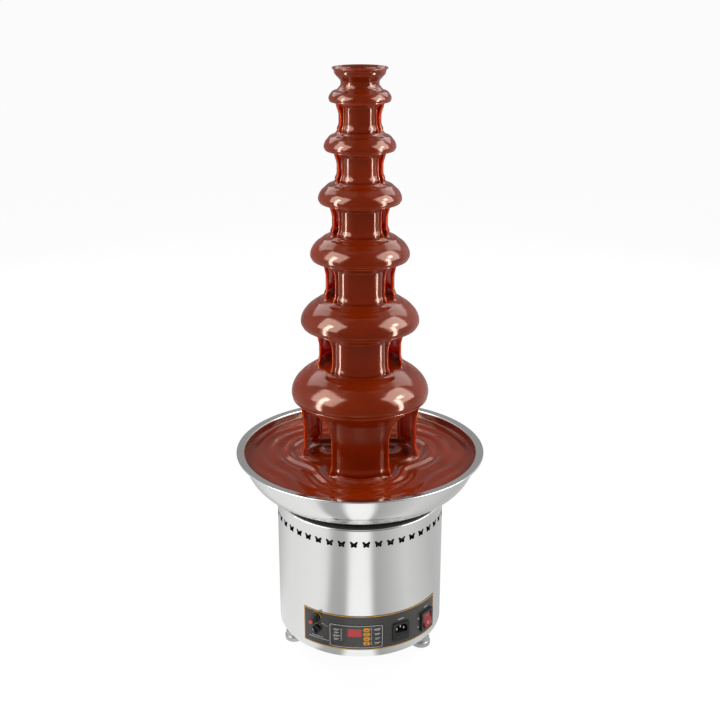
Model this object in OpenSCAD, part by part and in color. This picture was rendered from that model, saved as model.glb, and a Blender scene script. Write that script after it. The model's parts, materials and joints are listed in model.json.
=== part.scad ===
// Chocolate fountain: a drum base with a control panel, a heated steel basin,
// and a tower of six domed tiers and a crown cup that an auger feeds with chocolate.
// Millimetres, +Z up, origin on the table under the tower's axis, panel facing -Y.

/* [Feet] */
// Height of the drum's underside above the table
foot_h = 20; // [16:0.5:28]
// Radius of a foot pad
foot_r = 16.5; // [13:0.5:19]
// Height of a foot pad
foot_pad_h = 9; // [6:0.5:11]
// Radius of the dome above a foot pad
foot_dome_r = 11; // [8:0.5:12.5]
// Radius of the stud of a foot
foot_stud_r = 4; // [3:0.25:5]
// Distance of the feet's bosses from the bend of the drum's bottom edge
foot_inset = 0.5; // [0.4:0.1:8]
// Angle between the two front feet
foot_spread = 126; // [100:1:140]
// Turn of the set of feet about the drum's axis
foot_turn = -15; // [-25:1:25]

/* [Drum] */
// Radius of the drum
base_r = 150; // [145:0.5:165]
// Height of the drum
base_h = 256.5; // [235:0.5:290]
// Sheet thickness of the drum
shell_t = 1.5; // [1:0.1:2]
// Rounding of the drum's bottom edge
shell_corner_r = 12; // [8:0.5:14]
// Rounding of the drum's top edge
shell_top_r = 3; // [2.5:0.5:5]
// Width of the flange turned in at the foot of the drum
foot_flange_w = 45; // [40:1:55]
// Width of the flange turned in at the head of the drum
head_flange_w = 24; // [20:0.5:26]
// Thickness of the plate that closes the drum from below
plate_t = 1.5; // [1:0.1:3]

/* [Vents] */
// Number of butterfly vents around the drum
vent_count = 44; // [30:1:48]
// Width of a vent
vent_w = 12; // [8:0.5:14]
// Height of a vent
vent_h = 10.4; // [7:0.2:13]
// Distance of the vents' centres below the top of the drum
vent_drop = 27.5; // [20:0.5:40]
// Turn of the row of vents from the middle of the panel
vent_turn = 2; // [-4:0.5:4]

/* [Basin] */
// Thickness of the rubber ring under the basin
gasket_t = 2; // [1:0.5:4]
// Distance of the skirt that the basin stands on from the drum's skin
skirt_inset = 12; // [8:0.5:16]
// Height of the skirt
skirt_h = 9.5; // [7:0.5:14]
// Radius of the curved wall of the basin
basin_curve_r = 77; // [65:0.5:90]
// Sheet thickness of the basin
basin_t = 2; // [1.5:0.1:3]
// Radius of the basin's rim
rim_r = 221; // [216:0.5:235]
// Width of the flat part of the rim
rim_w = 12; // [11:0.5:18]
// Radius of the rolled edge of the rim
rim_edge_r = 1.8; // [1.2:0.1:2.5]
// Depth of the chocolate below the rim
pool_drop = 15.5; // [8:0.5:25]

/* [Tower] */
// Outer radius of the tower tube
tube_r = 30; // [28:0.5:33]
// Wall of the tower tube
tube_t = 2; // [1.2:0.1:2.2]
// Height and width of the inlets at the foot of the tube
inlet_slot_h = 28; // [15:1:40]
// Radius of the top tier
tier_1_r = 49.2; // [46:0.2:54]
// Radius of the second tier
tier_2_r = 57.8; // [54:0.2:62]
// Radius of the third tier
tier_3_r = 68.1; // [64:0.2:74]
// Radius of the fourth tier
tier_4_r = 82.6; // [78:0.2:90]
// Radius of the fifth tier
tier_5_r = 100.4; // [94:0.2:106]
// Radius of the lowest tier
tier_6_r = 118.4; // [112:0.2:126]
// Height of the lowest tier's edge above the basin's floor
tier_6_rise = 185; // [170:0.5:210]
// Height of the fifth tier's edge above the edge below
tier_5_rise = 129; // [120:0.5:140]
// Height of the fourth tier's edge above the edge below
tier_4_rise = 117; // [108:0.5:128]
// Height of the third tier's edge above the edge below
tier_3_rise = 95.5; // [88:0.5:108]
// Height of the second tier's edge above the edge below
tier_2_rise = 86; // [80:0.5:96]
// Height of the top tier's edge above the edge below
tier_1_rise = 78; // [72:0.5:88]
// Height of the crown's rim above the top tier's edge
crown_rise = 47.5; // [44:0.5:56]
// Radius of the crown's rim
crown_r = 44.2; // [38:0.2:46]
// Height of the flared part of the crown
crown_flare_h = 22; // [18:0.5:24]
// Width of the lip turned out at the crown's rim
crown_lip_w = 3.6; // [1:0.2:5]
// Height of the top tier's dome for a radius of one
top_dome_ratio = 0.41; // [0.36:0.01:0.5]
// Height of the other tiers' domes for a radius of one
dome_ratio = 0.5; // [0.42:0.01:0.56]
// Depth of a tier's rolled edge for a radius of one
edge_ratio = 0.125; // [0.11:0.005:0.2]
// Sheet thickness of the tiers and the crown
tier_t = 1.2; // [0.8:0.1:1.8]
// Length of the socket where a tier fits over the tube below
socket_h = 10; // [7:0.5:12]

/* [Chocolate] */
// Thickness of the coat on the tiers
coat_t = 2; // [1.2:0.1:3]
// Thickness of a falling curtain
curtain_t = 2.5; // [1.5:0.1:3]
// Radius where the curtain leaves the top tier
curtain_1_r = 40; // [39:0.5:42]
// Radius where the curtain leaves the second tier
curtain_2_r = 44; // [42:0.5:48]
// Radius where the curtain leaves the third tier
curtain_3_r = 52; // [48:0.5:56]
// Radius where the curtain leaves the fourth tier
curtain_4_r = 64; // [58:0.5:68]
// Radius where the curtain leaves the fifth tier
curtain_5_r = 77; // [70:0.5:82]
// Radius where the curtain leaves the lowest tier
curtain_6_r = 105; // [98:0.5:108]
// How far a curtain draws in as it falls
curtain_draw = 5; // [2:0.5:6]
// How far a curtain spreads where it lands
curtain_flare = 3; // [1:0.5:4]
// Half angle of the front curtain of the top tier
curtain_1_deg = 53; // [45:1:55]
// Half angle of the front curtain of the second tier
curtain_2_deg = 52; // [45:1:55]
// Half angle of the front curtain of the third tier
curtain_3_deg = 50; // [42:1:54]
// Half angle of the front curtain of the fourth tier
curtain_4_deg = 46; // [38:1:52]
// Half angle of the front curtain of the fifth tier
curtain_5_deg = 42; // [34:1:48]
// Half angle of the front curtain of the lowest tier
curtain_6_deg = 30; // [24:1:40]
// Direction of the front curtains from the middle of the panel
curtain_turn = -10; // [-30:1:30]
// Direction of the rear curtains of the lowest tier from its front one
rear_curtain_turn = 111; // [105:1:120]
// Half angle of the rear curtains of the lowest tier
rear_curtain_deg = 24; // [18:1:30]
// Rounding of the openings between the curtains, as a share of half their width
opening_round = 0.6; // [0.3:0.05:0.7]
// Height of the ripples in the basin
ripple_h = 1.2; // [0:0.1:2]
// Distance from ripple to ripple
ripple_pitch = 24; // [15:1:40]

/* [Auger drive] */
// Radius of the auger's core
auger_core_r = 10; // [9:0.25:12]
// Pitch of the auger's flight
auger_pitch = 60; // [45:1:80]
// Angle that the flight's edge covers in one cut across the auger
auger_edge_deg = 24; // [16:1:30]
// Gap between the flight and the tube
auger_gap = 1; // [0.6:0.1:1.5]
// Radius of the drive shaft
shaft_r = 6; // [5:0.25:7]
// Depth of the drive shaft in the auger
shaft_grip = 40; // [25:1:60]
// Module of the gears
gear_module = 1.25; // [1:0.05:1.4]
// Teeth of the drive gear
gear_teeth = 54; // [48:2:58]
// Teeth of the motor's pinion
pinion_teeth = 18; // [18:2:22]
// Width of the gears
gear_w = 10; // [7:0.5:14]
// Play between the teeth
gear_play = 0.2; // [0.1:0.02:0.3]
// Thickness of the gearbox's walls, floor and cover
case_t = 3; // [2:0.5:4]
// Distance of the gear deck below the basin's floor
deck_drop = 55; // [48:1:70]
// Gap between the gear deck and the flange at the head of the drum
deck_gap = 4; // [3:0.5:8]
// Thickness of the gear deck
deck_t = 3; // [2:0.5:5]
// Radius of the motor
motor_r = 31; // [27:0.5:36]
// Length of the motor
motor_h = 80; // [65:1:100]
// Radius of the motor's shaft
motor_shaft_r = 4; // [3:0.25:4.5]

/* [Panel] */
// Half angle of the control panel
panel_deg = 51.5; // [50:0.5:60]
// Height of the control panel
panel_h = 68; // [62:0.5:80]
// Height of the panel's middle above the drum's underside
panel_z = 53.7; // [52:0.5:80]
// Thickness of the control panel
panel_t = 0.8; // [0.5:0.1:1.2]
// Direction of the display plate's middle
plate_turn = -13; // [-15:0.5:-12]
// Half angle of the display plate
plate_deg = 18.4; // [17.5:0.1:19]
// Height of the display plate
plate_h = 47; // [44:0.5:50]
// Thickness of the display plate
plate_cover_t = 0.6; // [0.4:0.1:1]
// Width of the display window
window_w = 24.4; // [18:0.2:27]
// Height of the display window
window_h = 15.5; // [12:0.5:18]
// Height of the display window above the panel's middle
window_rise = 0.8; // [-3:0.2:3]
// Direction of the display window
window_turn = -13.9; // [-15:0.1:-13]
// Width of a button
button_w = 12.3; // [9:0.1:13]
// Height of a button
button_h = 7.8; // [6:0.1:8]
// Distance from button to button
button_pitch = 9.1; // [8.8:0.1:10]
// Direction of the buttons
button_turn = -5.9; // [-6.5:0.1:-5]
// Height of the buttons' middle above the panel's middle
button_rise = -6.2; // [-7:0.2:-3]
// Travel of a button
button_travel = 1.2; // [0.6:0.1:1.5]

/* [Knobs] */
// Direction of the speed knob
speed_turn = -41.2; // [-43:0.2:-40]
// Height of the speed knob above the panel's middle
speed_rise = 19.8; // [18:0.2:21]
// Length of the speed knob
speed_knob_h = 17; // [12:0.5:22]
// Radius of the speed knob
speed_knob_r = 6.2; // [5:0.1:7]
// Direction of the selector knob
selector_turn = -40.5; // [-43:0.2:-40]
// Height of the selector knob above the panel's middle
selector_rise = -1.7; // [-6:0.2:0]
// Radius of the selector knob
selector_r = 7.5; // [6:0.1:9]
// Depth of the selector knob without its handle
selector_h = 6; // [4:0.5:9]
// Turn of the selector's handle at rest
selector_rest_deg = 30; // [0:1:45]
// Radius of the knobs' spindles
spindle_r = 3; // [2:0.1:3.5]

/* [Power inlet] */
// Direction of the power inlet
inlet_turn = 18.4; // [17:0.2:20]
// Height of the power inlet's middle above the panel's middle
inlet_rise = -6; // [-9:0.2:-2]
// Width of the inlet's flange
inlet_w = 32.5; // [30:0.5:34]
// Height of the inlet's flange
inlet_h = 36; // [34:0.5:40]
// Width of the socket
socket_w = 24.4; // [23:0.1:25]
// Height of the socket
socket_z = 16; // [14:0.1:16.5]
// Depth of the socket
socket_d = 16; // [13:0.5:18]
// Height of the fuse drawer
drawer_h = 8; // [7:0.1:8.4]
// Radius of the fuse
fuse_r = 2.5; // [2:0.1:2.6]

/* [Rocker switch] */
// Direction of the rocker switch
rocker_turn = 41.5; // [40:0.2:43]
// Height of the rocker switch above the panel's middle
rocker_rise = -6; // [-9:0.2:-2]
// Width of the rocker's frame
rocker_frame_w = 33; // [31:0.5:34]
// Height of the rocker's frame
rocker_frame_h = 38; // [36:0.5:42]
// Distance that the frame stands out from the drum
rocker_frame_d = 5; // [4:0.5:7]
// Width of the rocker
rocker_w = 21; // [18:0.2:22]
// Height of the rocker
rocker_h = 25; // [20:0.2:26]
// Tilt of the rocker from end to end
rocker_deg = 24; // [16:1:26]

/* [Fasteners and fits] */
// Radius of the machine screws
screw_r = 2; // [1.5:0.1:2.5]
// Length of the machine screws under the head
screw_l = 8; // [6:0.5:10]
// Radius of the display plate's screws
plate_screw_r = 1.2; // [0.8:0.1:1.5]
// Gap between pieces that are fixed to each other
seat_gap = 0.05; // [0.02:0.01:0.1]
// Radial gap of a shaft in its bearing
run_gap = 0.06; // [0.02:0.01:0.1]
// Gap around pieces that slide or tilt
slide_gap = 0.25; // [0.2:0.05:0.3]

/* [Hidden] */
$fn = 96;
fine_cuts = 720;
// Distance that a cut runs past the surface it leaves
over = 1;

// Finishes
steel = [0.80, 0.80, 0.79];
dark_steel = [0.55, 0.55, 0.56];
rubber = [0.06, 0.06, 0.06];
black = [0.10, 0.10, 0.10];
panel_grey = [0.25, 0.25, 0.24];
red = [0.70, 0.18, 0.17];
orange = [0.90, 0.62, 0.14];
brass = [0.80, 0.65, 0.30];
green = [0.10, 0.35, 0.18];
glass = [0.80, 0.85, 0.85];
choc = [0.36, 0.11, 0.05];

// Heights of the stack
z_drum = foot_h;
z_head = z_drum + base_h;
z_skirt = z_head + gasket_t;
z_basin = z_skirt + skirt_h;
z_floor = z_basin + basin_t;
z_rim = z_basin + basin_curve_r;
z_pool = z_rim - pool_drop;
z_deck = z_basin - deck_drop;
z_panel = z_drum + panel_z;

// Flanges of the drum, and the skirt and floor of the basin
foot_flange_r = base_r - foot_flange_w;
head_flange_r = base_r - head_flange_w;
gasket_inset = 1;
skirt_r = base_r - skirt_inset;
basin_floor_r = rim_r - rim_w - basin_curve_r;
// Height of the basin's underside at radius r
function bowl_z(r) =
  r <= basin_floor_r ? z_basin : z_rim - sqrt(pow(basin_curve_r, 2) - pow(r - basin_floor_r, 2));

// Tiers from the top down
tier_count = 6;
tier_rs = [tier_1_r, tier_2_r, tier_3_r, tier_4_r, tier_5_r, tier_6_r];
z_tier_6 = z_floor + tier_6_rise;
z_tier_5 = z_tier_6 + tier_5_rise;
z_tier_4 = z_tier_5 + tier_4_rise;
z_tier_3 = z_tier_4 + tier_3_rise;
z_tier_2 = z_tier_3 + tier_2_rise;
z_tier_1 = z_tier_2 + tier_1_rise;
z_crown = z_tier_1 + crown_rise;
tier_zs = [z_tier_1, z_tier_2, z_tier_3, z_tier_4, z_tier_5, z_tier_6];
curtain_rs = [curtain_1_r, curtain_2_r, curtain_3_r, curtain_4_r, curtain_5_r, curtain_6_r];
front_degs = [curtain_1_deg, curtain_2_deg, curtain_3_deg, curtain_4_deg, curtain_5_deg, curtain_6_deg];
rear_turns = [120, 120, 120, 120, 120, rear_curtain_turn];
rear_degs = [curtain_1_deg, curtain_2_deg, curtain_3_deg, curtain_4_deg, curtain_5_deg, rear_curtain_deg];
tube_in_r = tube_r - tube_t;
collar_r = tube_r + seat_gap + tube_t;
collar_rise = 2;
inlet_slot_angles = [30, 150, 270];
crown_joint = z_crown - crown_flare_h;
spigot_h = 8;
land_gap = 0.3;
dome_steps = 14;
edge_steps = 8;
corner_steps = 6;
flare_steps = 16;
// Share of the crown's height that its bowl takes
bowl_share = 0.75;

// Heights of a dome's skin above its edge, at radius r
function dome_h(k) = tier_rs[k] * (k == 0 ? top_dome_ratio : dome_ratio);
function coat_z(k, r) = tier_zs[k] + (dome_h(k) + coat_t) * sqrt(1 - pow(r / (tier_rs[k] + coat_t), 2));
function edge_h(k) = (tier_rs[k] + coat_t) * edge_ratio;
function collar_top(k) = tier_zs[k] + dome_h(k) * sqrt(1 - pow(collar_r / tier_rs[k], 2)) + collar_rise;
function joint_z(k) = k < 0 ? crown_joint : collar_top(k) - 2 * collar_rise;
function pool_wave(r) = ripple_h * cos(360 * (r - curtain_6_r) / ripple_pitch)
                        * exp(-abs(r - curtain_6_r) / ripple_pitch / 2);
function pool_top(r) = z_pool + pool_wave(r);
function landing_z(k, r) = (k < tier_count - 1 ? coat_z(k + 1, r) : pool_top(r)) + land_gap;

// Points on an ellipse about [x, z]
function oval(x, z, a, b, from, to, steps) =
  [for (i = [0 : steps]) let (t = from + (to - from) * i / steps) [x + a * cos(t), z + b * sin(t)]];
function reversed(points) = [for (i = [len(points) - 1 : -1 : 0]) points[i]];

// Gears
gear_pitch_r = gear_module * gear_teeth / 2;
pinion_pitch_r = gear_module * pinion_teeth / 2;
gear_offset = gear_pitch_r + pinion_pitch_r;
gear_tip_r = gear_pitch_r + gear_module;
pinion_tip_r = pinion_pitch_r + gear_module;
pressure_deg = 20;
gear_slack = 3;
bush_wall = 4;
bush_r = shaft_r + bush_wall;
motor_bush_r = motor_shaft_r + bush_wall;
z_gear = z_deck + case_t + gear_slack;
z_case = z_gear + gear_w + gear_slack;
boss_wall = 3;
boss_r = screw_r + boss_wall;

// Auger
auger_lift = 8;
core_end = 4;
z_auger = z_floor + auger_lift;
z_auger_top = crown_joint - spigot_h - core_end;
auger_r = tube_in_r - auger_gap;
auger_cuts = 16;
flight_in_r = (auger_core_r + seat_gap) / cos(180 / auger_cuts) / cos(auger_edge_deg / 4);
seal_wall = 6;
seal_r = shaft_r + seal_wall;
seal_flange_w = 2.5;
seal_flange_r = seal_r + seal_flange_w;
shaft_collar_w = 3;
hub_h = 8;
collar_h = 3;
seal_flange_t = 1.5;

// Feet
foot_angles = [foot_turn - foot_spread / 2, foot_turn + foot_spread / 2, foot_turn + 180];
foot_boss_wall = 2;
foot_boss_r = foot_stud_r + foot_boss_wall;
foot_boss_h = 8;
foot_stud_end = 3;
foot_ring_r = base_r - shell_corner_r - foot_boss_r - foot_inset;
plate_gap = 1.5;
plate_r = foot_ring_r - foot_boss_r - plate_gap;
plate_screw_ring = (plate_r + foot_flange_r) / 2;
base_screw_angles = [for (i = [0 : 5]) i * 60 + 30];
head_h = screw_r * 1.25;
head_r = screw_r * 1.75;

// Deck
post_r = 5;
deck_r = head_flange_r - deck_gap;
post_inset = 5;
post_ring = deck_r - post_r - post_inset;
post_angles = [45, 135, 225, 315];
case_gear_r = gear_tip_r + gear_slack;
case_pinion_r = pinion_tip_r + gear_slack;
gear_boss_deg = 22;
pinion_boss_deg = 20;
boss_gap = 0.5;
gear_boss_ring = case_gear_r + boss_r + boss_gap;
pinion_boss_ring = case_pinion_r + boss_r + boss_gap;
case_bosses = [for (side = [-1, 1], end = [0, 1])
               end == 0 ? gear_boss_ring * [side * cos(gear_boss_deg), -sin(gear_boss_deg)]
               : [0, gear_offset] + pinion_boss_ring * [side * cos(pinion_boss_deg), sin(pinion_boss_deg)]];

// Motor, heater and thermostat
motor_wall = 2;
motor_boss_h = 8;
z_motor = z_deck - deck_t - motor_h;
rotor_gap = 5;
rotor_end = 6;
heater_w = 40;
heater_h = 6;
heater_gap = 6;
tab_r = 2;
tab_l = 10;
tab_x = 6;
thermostat_size = [12, 20, 8];
heater_in_r = post_ring - thermostat_size[0] / 2 - heater_gap - heater_w;

// Panel layers, as radii from the axis
panel_in_r = base_r + seat_gap;
panel_out_r = panel_in_r + panel_t;
cover_in_r = panel_out_r + seat_gap;
cover_out_r = cover_in_r + plate_cover_t;
shell_in_r = base_r - shell_t;
cut_depth = 20;
plate_drop = 1;
plate_z = z_panel + button_rise - plate_drop;
button_zs = [for (i = [0 : 3]) z_panel + button_rise + button_pitch * (1.5 - i)];
corner_inset_deg = 2;
corner_inset_h = 4;
plate_corners = [for (side = [-1, 1], end = [-1, 1])
                 [plate_turn + side * (plate_deg - corner_inset_deg),
                  plate_z + end * (plate_h / 2 - corner_inset_h)]];
plate_screw_l = 3;
plate_head_t = 0.8;
button_depth = 6;
button_stem_y = shell_t + button_depth;
button_stem_l = 3;
button_stem_r = 2;
button_brim_w = 3;
button_brim_y = 2.5;
button_brim_t = 2;
pot_bush_wall = 1.6;
pot_wall = 5;
pot_bush_r = spindle_r + pot_bush_wall;
pot_r = spindle_r + pot_wall;
pot_h = 11;
pot_gap = 0.4;
pot_floor = 2;
knob_gap = 0.4;
// Distance from the drum's skin to a knob's back
knob_back = cover_out_r - base_r + knob_gap;
knob_brim = 1.6;
knob_brim_t = 2.5;
knob_step = 1.2;
knob_step_share = 0.7;
cap_r = speed_knob_r - 2 * knob_step;
cap_depth = 2;
cap_t = 3.2;
handle_h = 5;
board_y = 14;
board_t = 1.6;
board_w = 84;
board_h = 42;
board_drop = 6;
board_switch_r = 1.6;
board_post_r = 2.5;
board_post_inset = 9;

// Power inlet, in its own frame
inlet_flange_w = 2.5;
inlet_flange_t = 1.8;
inlet_back_h = 8;
inlet_wall = 1.6;
drawer_side = 0.2;
inlet_body_w = inlet_w - 2 * inlet_flange_w;
inlet_body_h = inlet_h - 2 * inlet_flange_w;
inlet_front = cover_out_r - base_r + inlet_flange_t;
inlet_depth = socket_d + inlet_back_h;
socket_rise = inlet_body_h / 2 - socket_z / 2 - inlet_wall;
drawer_rise = -inlet_body_h / 2 + drawer_h / 2 + inlet_wall;
drawer_w = socket_w + 2 * drawer_side;
drawer_lip = 0.8;
drawer_depth = socket_d;
inlet_corner_r = 3;
inlet_step = 0.5;
pin_x = 7;
pin_rise = 2;
pin_places = [[-pin_x, -pin_rise], [pin_x, -pin_rise], [0, pin_rise]];
pin_w = 2;
pin_h = 4;
pin_tail = 6;
fuse_y = 8;
fuse_l = 20;
fuse_room = 0.2;

// Rocker switch, in its own frame
rocker_side_w = 3;
rocker_end_h = 4;
rocker_body_w = rocker_w + 2 * rocker_side_w;
rocker_body_h = rocker_h + 2 * rocker_end_h;
rocker_depth = 18;
rocker_pin_r = 1.5;
rocker_pin_y = 1;
rocker_pin_l = 2;
rocker_rise_d = 2;
rocker_front = rocker_frame_d + rocker_rise_d;
rocker_dip = 1.2;
rocker_back = 4;
rocker_room = 2;
rocker_corner_r = 2.5;

// Places a piece on the drum, with its own -Y pointing out and y = 0 on the drum's skin
module on_drum(turn, z) {
  rotate([0, 0, turn]) translate([0, -base_r, z]) children();
}

// A cylinder that points out of the drum from depth y
module peg(r, y, l) {
  translate([0, y, 0]) rotate([90, 0, 0]) cylinder(r = r, h = l);
}

module ring(r_out, r_in, z, h) {
  translate([0, 0, z]) difference() {
    cylinder(r = r_out, h = h);
    translate([0, 0, -over]) cylinder(r = r_in, h = h + 2 * over);
  }
}

module around(angles, r) {
  for (a = angles) rotate([0, 0, a]) translate([0, -r, 0]) children();
}

// A sheet of the drum's curve, between two radii, about the direction turn
module curved_sheet(r_in, r_out, turn, half_deg, z, h) {
  rotate([0, 0, turn - 90 - half_deg])
    rotate_extrude(angle = 2 * half_deg) translate([r_in, z - h / 2]) square([r_out - r_in, h]);
}

module box(w, y_front, y_back, h) {
  translate([-w / 2, y_front, -h / 2]) cube([w, y_back - y_front, h]);
}

// Outline of a drum, from the axis to its skin, with its two edges rounded
module drum_outline(r, z, h, bottom_r, top_r) {
  translate([0, z]) {
    square([r - bottom_r, h - top_r]);
    translate([0, bottom_r]) square([r, h - bottom_r - top_r]);
    translate([0, h / 2]) square([r - top_r, h / 2]);
    translate([r - bottom_r, bottom_r]) circle(bottom_r);
    translate([r - top_r, h - top_r]) circle(top_r);
  }
}

// Outline of a rounded slot, as long as w
module oval_outline(w, h) {
  square([w - h, h], center = true);
  for (side = [-1, 1]) translate([side * (w - h) / 2, 0]) circle(d = h);
}

module rounded_outline(w, h, r) {
  square([w - 2 * r, h], center = true);
  square([w, h - 2 * r], center = true);
  for (x = [-1, 1], y = [-1, 1]) translate([x * (w / 2 - r), y * (h / 2 - r)]) circle(r);
}

module butterfly_outline() {
  wing = [[0, 0.13], [0.14, 0.24], [0.3, 0.46], [0.43, 0.5], [0.5, 0.4], [0.47, 0.22],
          [0.34, -0.02], [0.37, -0.3], [0.32, -0.48], [0.2, -0.48], [0.09, -0.32], [0, -0.24]];
  half = [for (p = wing) [p[0] * vent_w, p[1] * vent_h]];
  polygon(concat(half, [for (i = [len(half) - 2 : -1 : 1]) [-half[i][0], half[i][1]]]));
}

// Cut-outs of the panel's pieces through panel and drum
module panel_cuts() {
  on_drum(window_turn, z_panel + window_rise)
    box(window_w + 2 * seat_gap, -cut_depth / 2, cut_depth / 2, window_h + 2 * seat_gap);
  for (z = button_zs) on_drum(button_turn, z) button_cut();
  on_drum(speed_turn, z_panel + speed_rise) peg(pot_bush_r + seat_gap, cut_depth / 2, cut_depth);
  on_drum(selector_turn, z_panel + selector_rise) peg(pot_bush_r + seat_gap, cut_depth / 2, cut_depth);
  on_drum(inlet_turn, z_panel + inlet_rise)
    box(inlet_body_w + 2 * seat_gap, -cut_depth / 2, cut_depth / 2, inlet_body_h + 2 * seat_gap);
  on_drum(rocker_turn, z_panel + rocker_rise)
    box(rocker_body_w + 2 * seat_gap, -cut_depth / 2, cut_depth / 2, rocker_body_h + 2 * seat_gap);
  for (c = plate_corners) on_drum(c[0], c[1]) peg(plate_screw_r + seat_gap, cut_depth / 2, cut_depth);
}

module button_cut() {
  rotate([90, 0, 0]) linear_extrude(height = cut_depth, center = true)
    oval_outline(button_w + 2 * slide_gap, button_h + 2 * slide_gap);
}

// Drum base

module base_shell() {
  color(steel) difference() {
    union() {
      rotate_extrude() difference() {
        drum_outline(base_r, z_drum, base_h, shell_corner_r, shell_top_r);
        drum_outline(shell_in_r, z_drum + shell_t, base_h - 2 * shell_t,
                     shell_corner_r - shell_t, shell_top_r - shell_t);
        translate([0, z_drum - over]) square([foot_flange_r, base_h / 2]);
        translate([0, z_head - base_h / 2]) square([head_flange_r, base_h / 2 + over]);
      }
      around(foot_angles, foot_ring_r)
        translate([0, 0, z_drum]) cylinder(r = foot_boss_r, h = shell_t + foot_boss_h);
    }
    around(foot_angles, foot_ring_r)
      translate([0, 0, z_drum - over])
        cylinder(r = foot_stud_r + run_gap, h = foot_boss_h + shell_t + 2 * over);
    around(base_screw_angles, plate_screw_ring) translate([0, 0, z_drum - over])
      cylinder(r = screw_r + seat_gap, h = shell_t + 2 * over);
    for (i = [0 : vent_count - 1]) on_drum(vent_turn + i * 360 / vent_count, z_head - vent_drop)
      rotate([90, 0, 0]) linear_extrude(height = 4 * shell_t, center = true) butterfly_outline();
    panel_cuts();
  }
}

module base_plate() {
  color(dark_steel) difference() {
    translate([0, 0, z_drum + shell_t]) cylinder(r = plate_r, h = plate_t);
    around(base_screw_angles, plate_screw_ring) translate([0, 0, z_drum])
      cylinder(r = screw_r + seat_gap, h = shell_t + plate_t + over);
  }
}

module round_disc(r, z, h, e) {
  rotate_extrude() translate([0, z]) {
    square([r - e, h]);
    translate([0, e]) square([r, h - 2 * e]);
    for (y = [e, h - e]) translate([r - e, y]) circle(e);
  }
}

module foot(angle) {
  edge = foot_pad_h / 3;
  color(steel) around([angle], foot_ring_r) {
    round_disc(foot_r, 0, foot_pad_h, edge);
    round_disc(foot_dome_r, 0, foot_h - slide_gap, edge);
    cylinder(r = foot_stud_r, h = foot_h + shell_t + foot_boss_h + foot_stud_end);
  }
}

module foot_left() { foot(foot_angles[0]); }
module foot_right() { foot(foot_angles[1]); }
module foot_rear() { foot(foot_angles[2]); }

// A pan-head screw whose head stands on z = 0 and whose shank points down
module machine_screw() {
  translate([0, 0, -screw_l]) cylinder(r = screw_r, h = screw_l + head_h / 2);
  round_disc(head_r, 0, head_h, head_h / 3);
}

module machine_screws() {
  color(dark_steel) {
    around(base_screw_angles, plate_screw_ring)
      translate([0, 0, z_drum]) mirror([0, 0, 1]) machine_screw();
    around(post_angles, post_ring)
      translate([0, 0, z_deck - deck_t]) mirror([0, 0, 1]) machine_screw();
    for (b = case_bosses) translate([b[0], b[1], z_case + case_t]) machine_screw();
  }
}

// Basin

module basin() {
  color(steel) rotate_extrude() {
    translate([seal_r + seat_gap, z_basin]) square([basin_floor_r - seal_r - seat_gap, basin_t]);
    translate([basin_floor_r, z_rim]) intersection() {
      difference() {
        circle(basin_curve_r);
        circle(basin_curve_r - basin_t);
      }
      translate([0, -basin_curve_r]) square([basin_curve_r, basin_curve_r]);
    }
    translate([basin_floor_r + basin_curve_r - basin_t, z_rim - basin_t])
      square([rim_r - rim_edge_r - basin_floor_r - basin_curve_r + basin_t, basin_t]);
    translate([rim_r - rim_edge_r, z_rim - rim_edge_r]) circle(rim_edge_r);
    polygon([[skirt_r - basin_t, z_skirt], [skirt_r, z_skirt], [skirt_r, bowl_z(skirt_r) + basin_t / 2],
             [skirt_r - basin_t, bowl_z(skirt_r - basin_t) + basin_t / 2]]);
    translate([seal_r + seat_gap, z_basin - hub_h]) square([basin_t * 2, hub_h + basin_t / 2]);
  }
}

module basin_gasket() {
  color(rubber) ring(base_r - shell_top_r, head_flange_r + gasket_inset, z_head, gasket_t);
}

module shaft_seal() {
  color(rubber) difference() {
    union() {
      translate([0, 0, z_basin - hub_h]) cylinder(r = seal_r, h = hub_h + basin_t + seal_flange_t / 2);
      translate([0, 0, z_floor]) cylinder(r = seal_flange_r, h = seal_flange_t);
    }
    translate([0, 0, z_basin - hub_h - over])
      cylinder(r = shaft_r + run_gap, h = hub_h + basin_t + seal_flange_t + 2 * over);
  }
}

module heater_ring() {
  color(dark_steel) {
    ring(heater_in_r + heater_w, heater_in_r, z_basin - heater_h, heater_h);
    for (x = [-tab_x, tab_x])
      translate([x, -heater_in_r - heater_w / 2, z_basin - heater_h - tab_l])
        cylinder(r = tab_r, h = tab_l + over);
  }
}

module thermostat() {
  color(black) translate([post_ring, 0, z_basin]) {
    translate([-thermostat_size[0] / 2, -thermostat_size[1] / 2, -thermostat_size[2]]) cube(thermostat_size);
    for (y = [-tab_x, tab_x])
      translate([0, y, -thermostat_size[2] - tab_l / 2]) cylinder(r = tab_r, h = tab_l / 2 + over);
  }
}

// Auger drive

module gear_deck() {
  color(dark_steel) difference() {
    translate([0, 0, z_deck - deck_t]) cylinder(r = deck_r, h = deck_t);
    drive_bores(z_deck - deck_t, deck_t);
    around(post_angles, post_ring)
      translate([0, 0, z_deck - deck_t - over]) cylinder(r = screw_r + seat_gap, h = deck_t + 2 * over);
  }
}

// Bores that hold the bushes of the drive shaft and the motor's shaft
module drive_bores(z, h) {
  translate([0, 0, z - over]) cylinder(r = bush_r + seat_gap, h = h + 2 * over);
  translate([0, gear_offset, z - over]) cylinder(r = motor_bush_r + seat_gap, h = h + 2 * over);
}

module deck_posts() {
  color(dark_steel) around(post_angles, post_ring) difference() {
    translate([0, 0, z_deck]) cylinder(r = post_r, h = deck_drop);
    translate([0, 0, z_deck - over]) cylinder(r = screw_r + seat_gap, h = screw_l + over);
  }
}

// Outline of the gearbox, wider than its gears by the given wall
module case_outline(wall) {
  circle(case_gear_r + wall);
  translate([0, gear_offset]) circle(case_pinion_r + wall);
}

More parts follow.
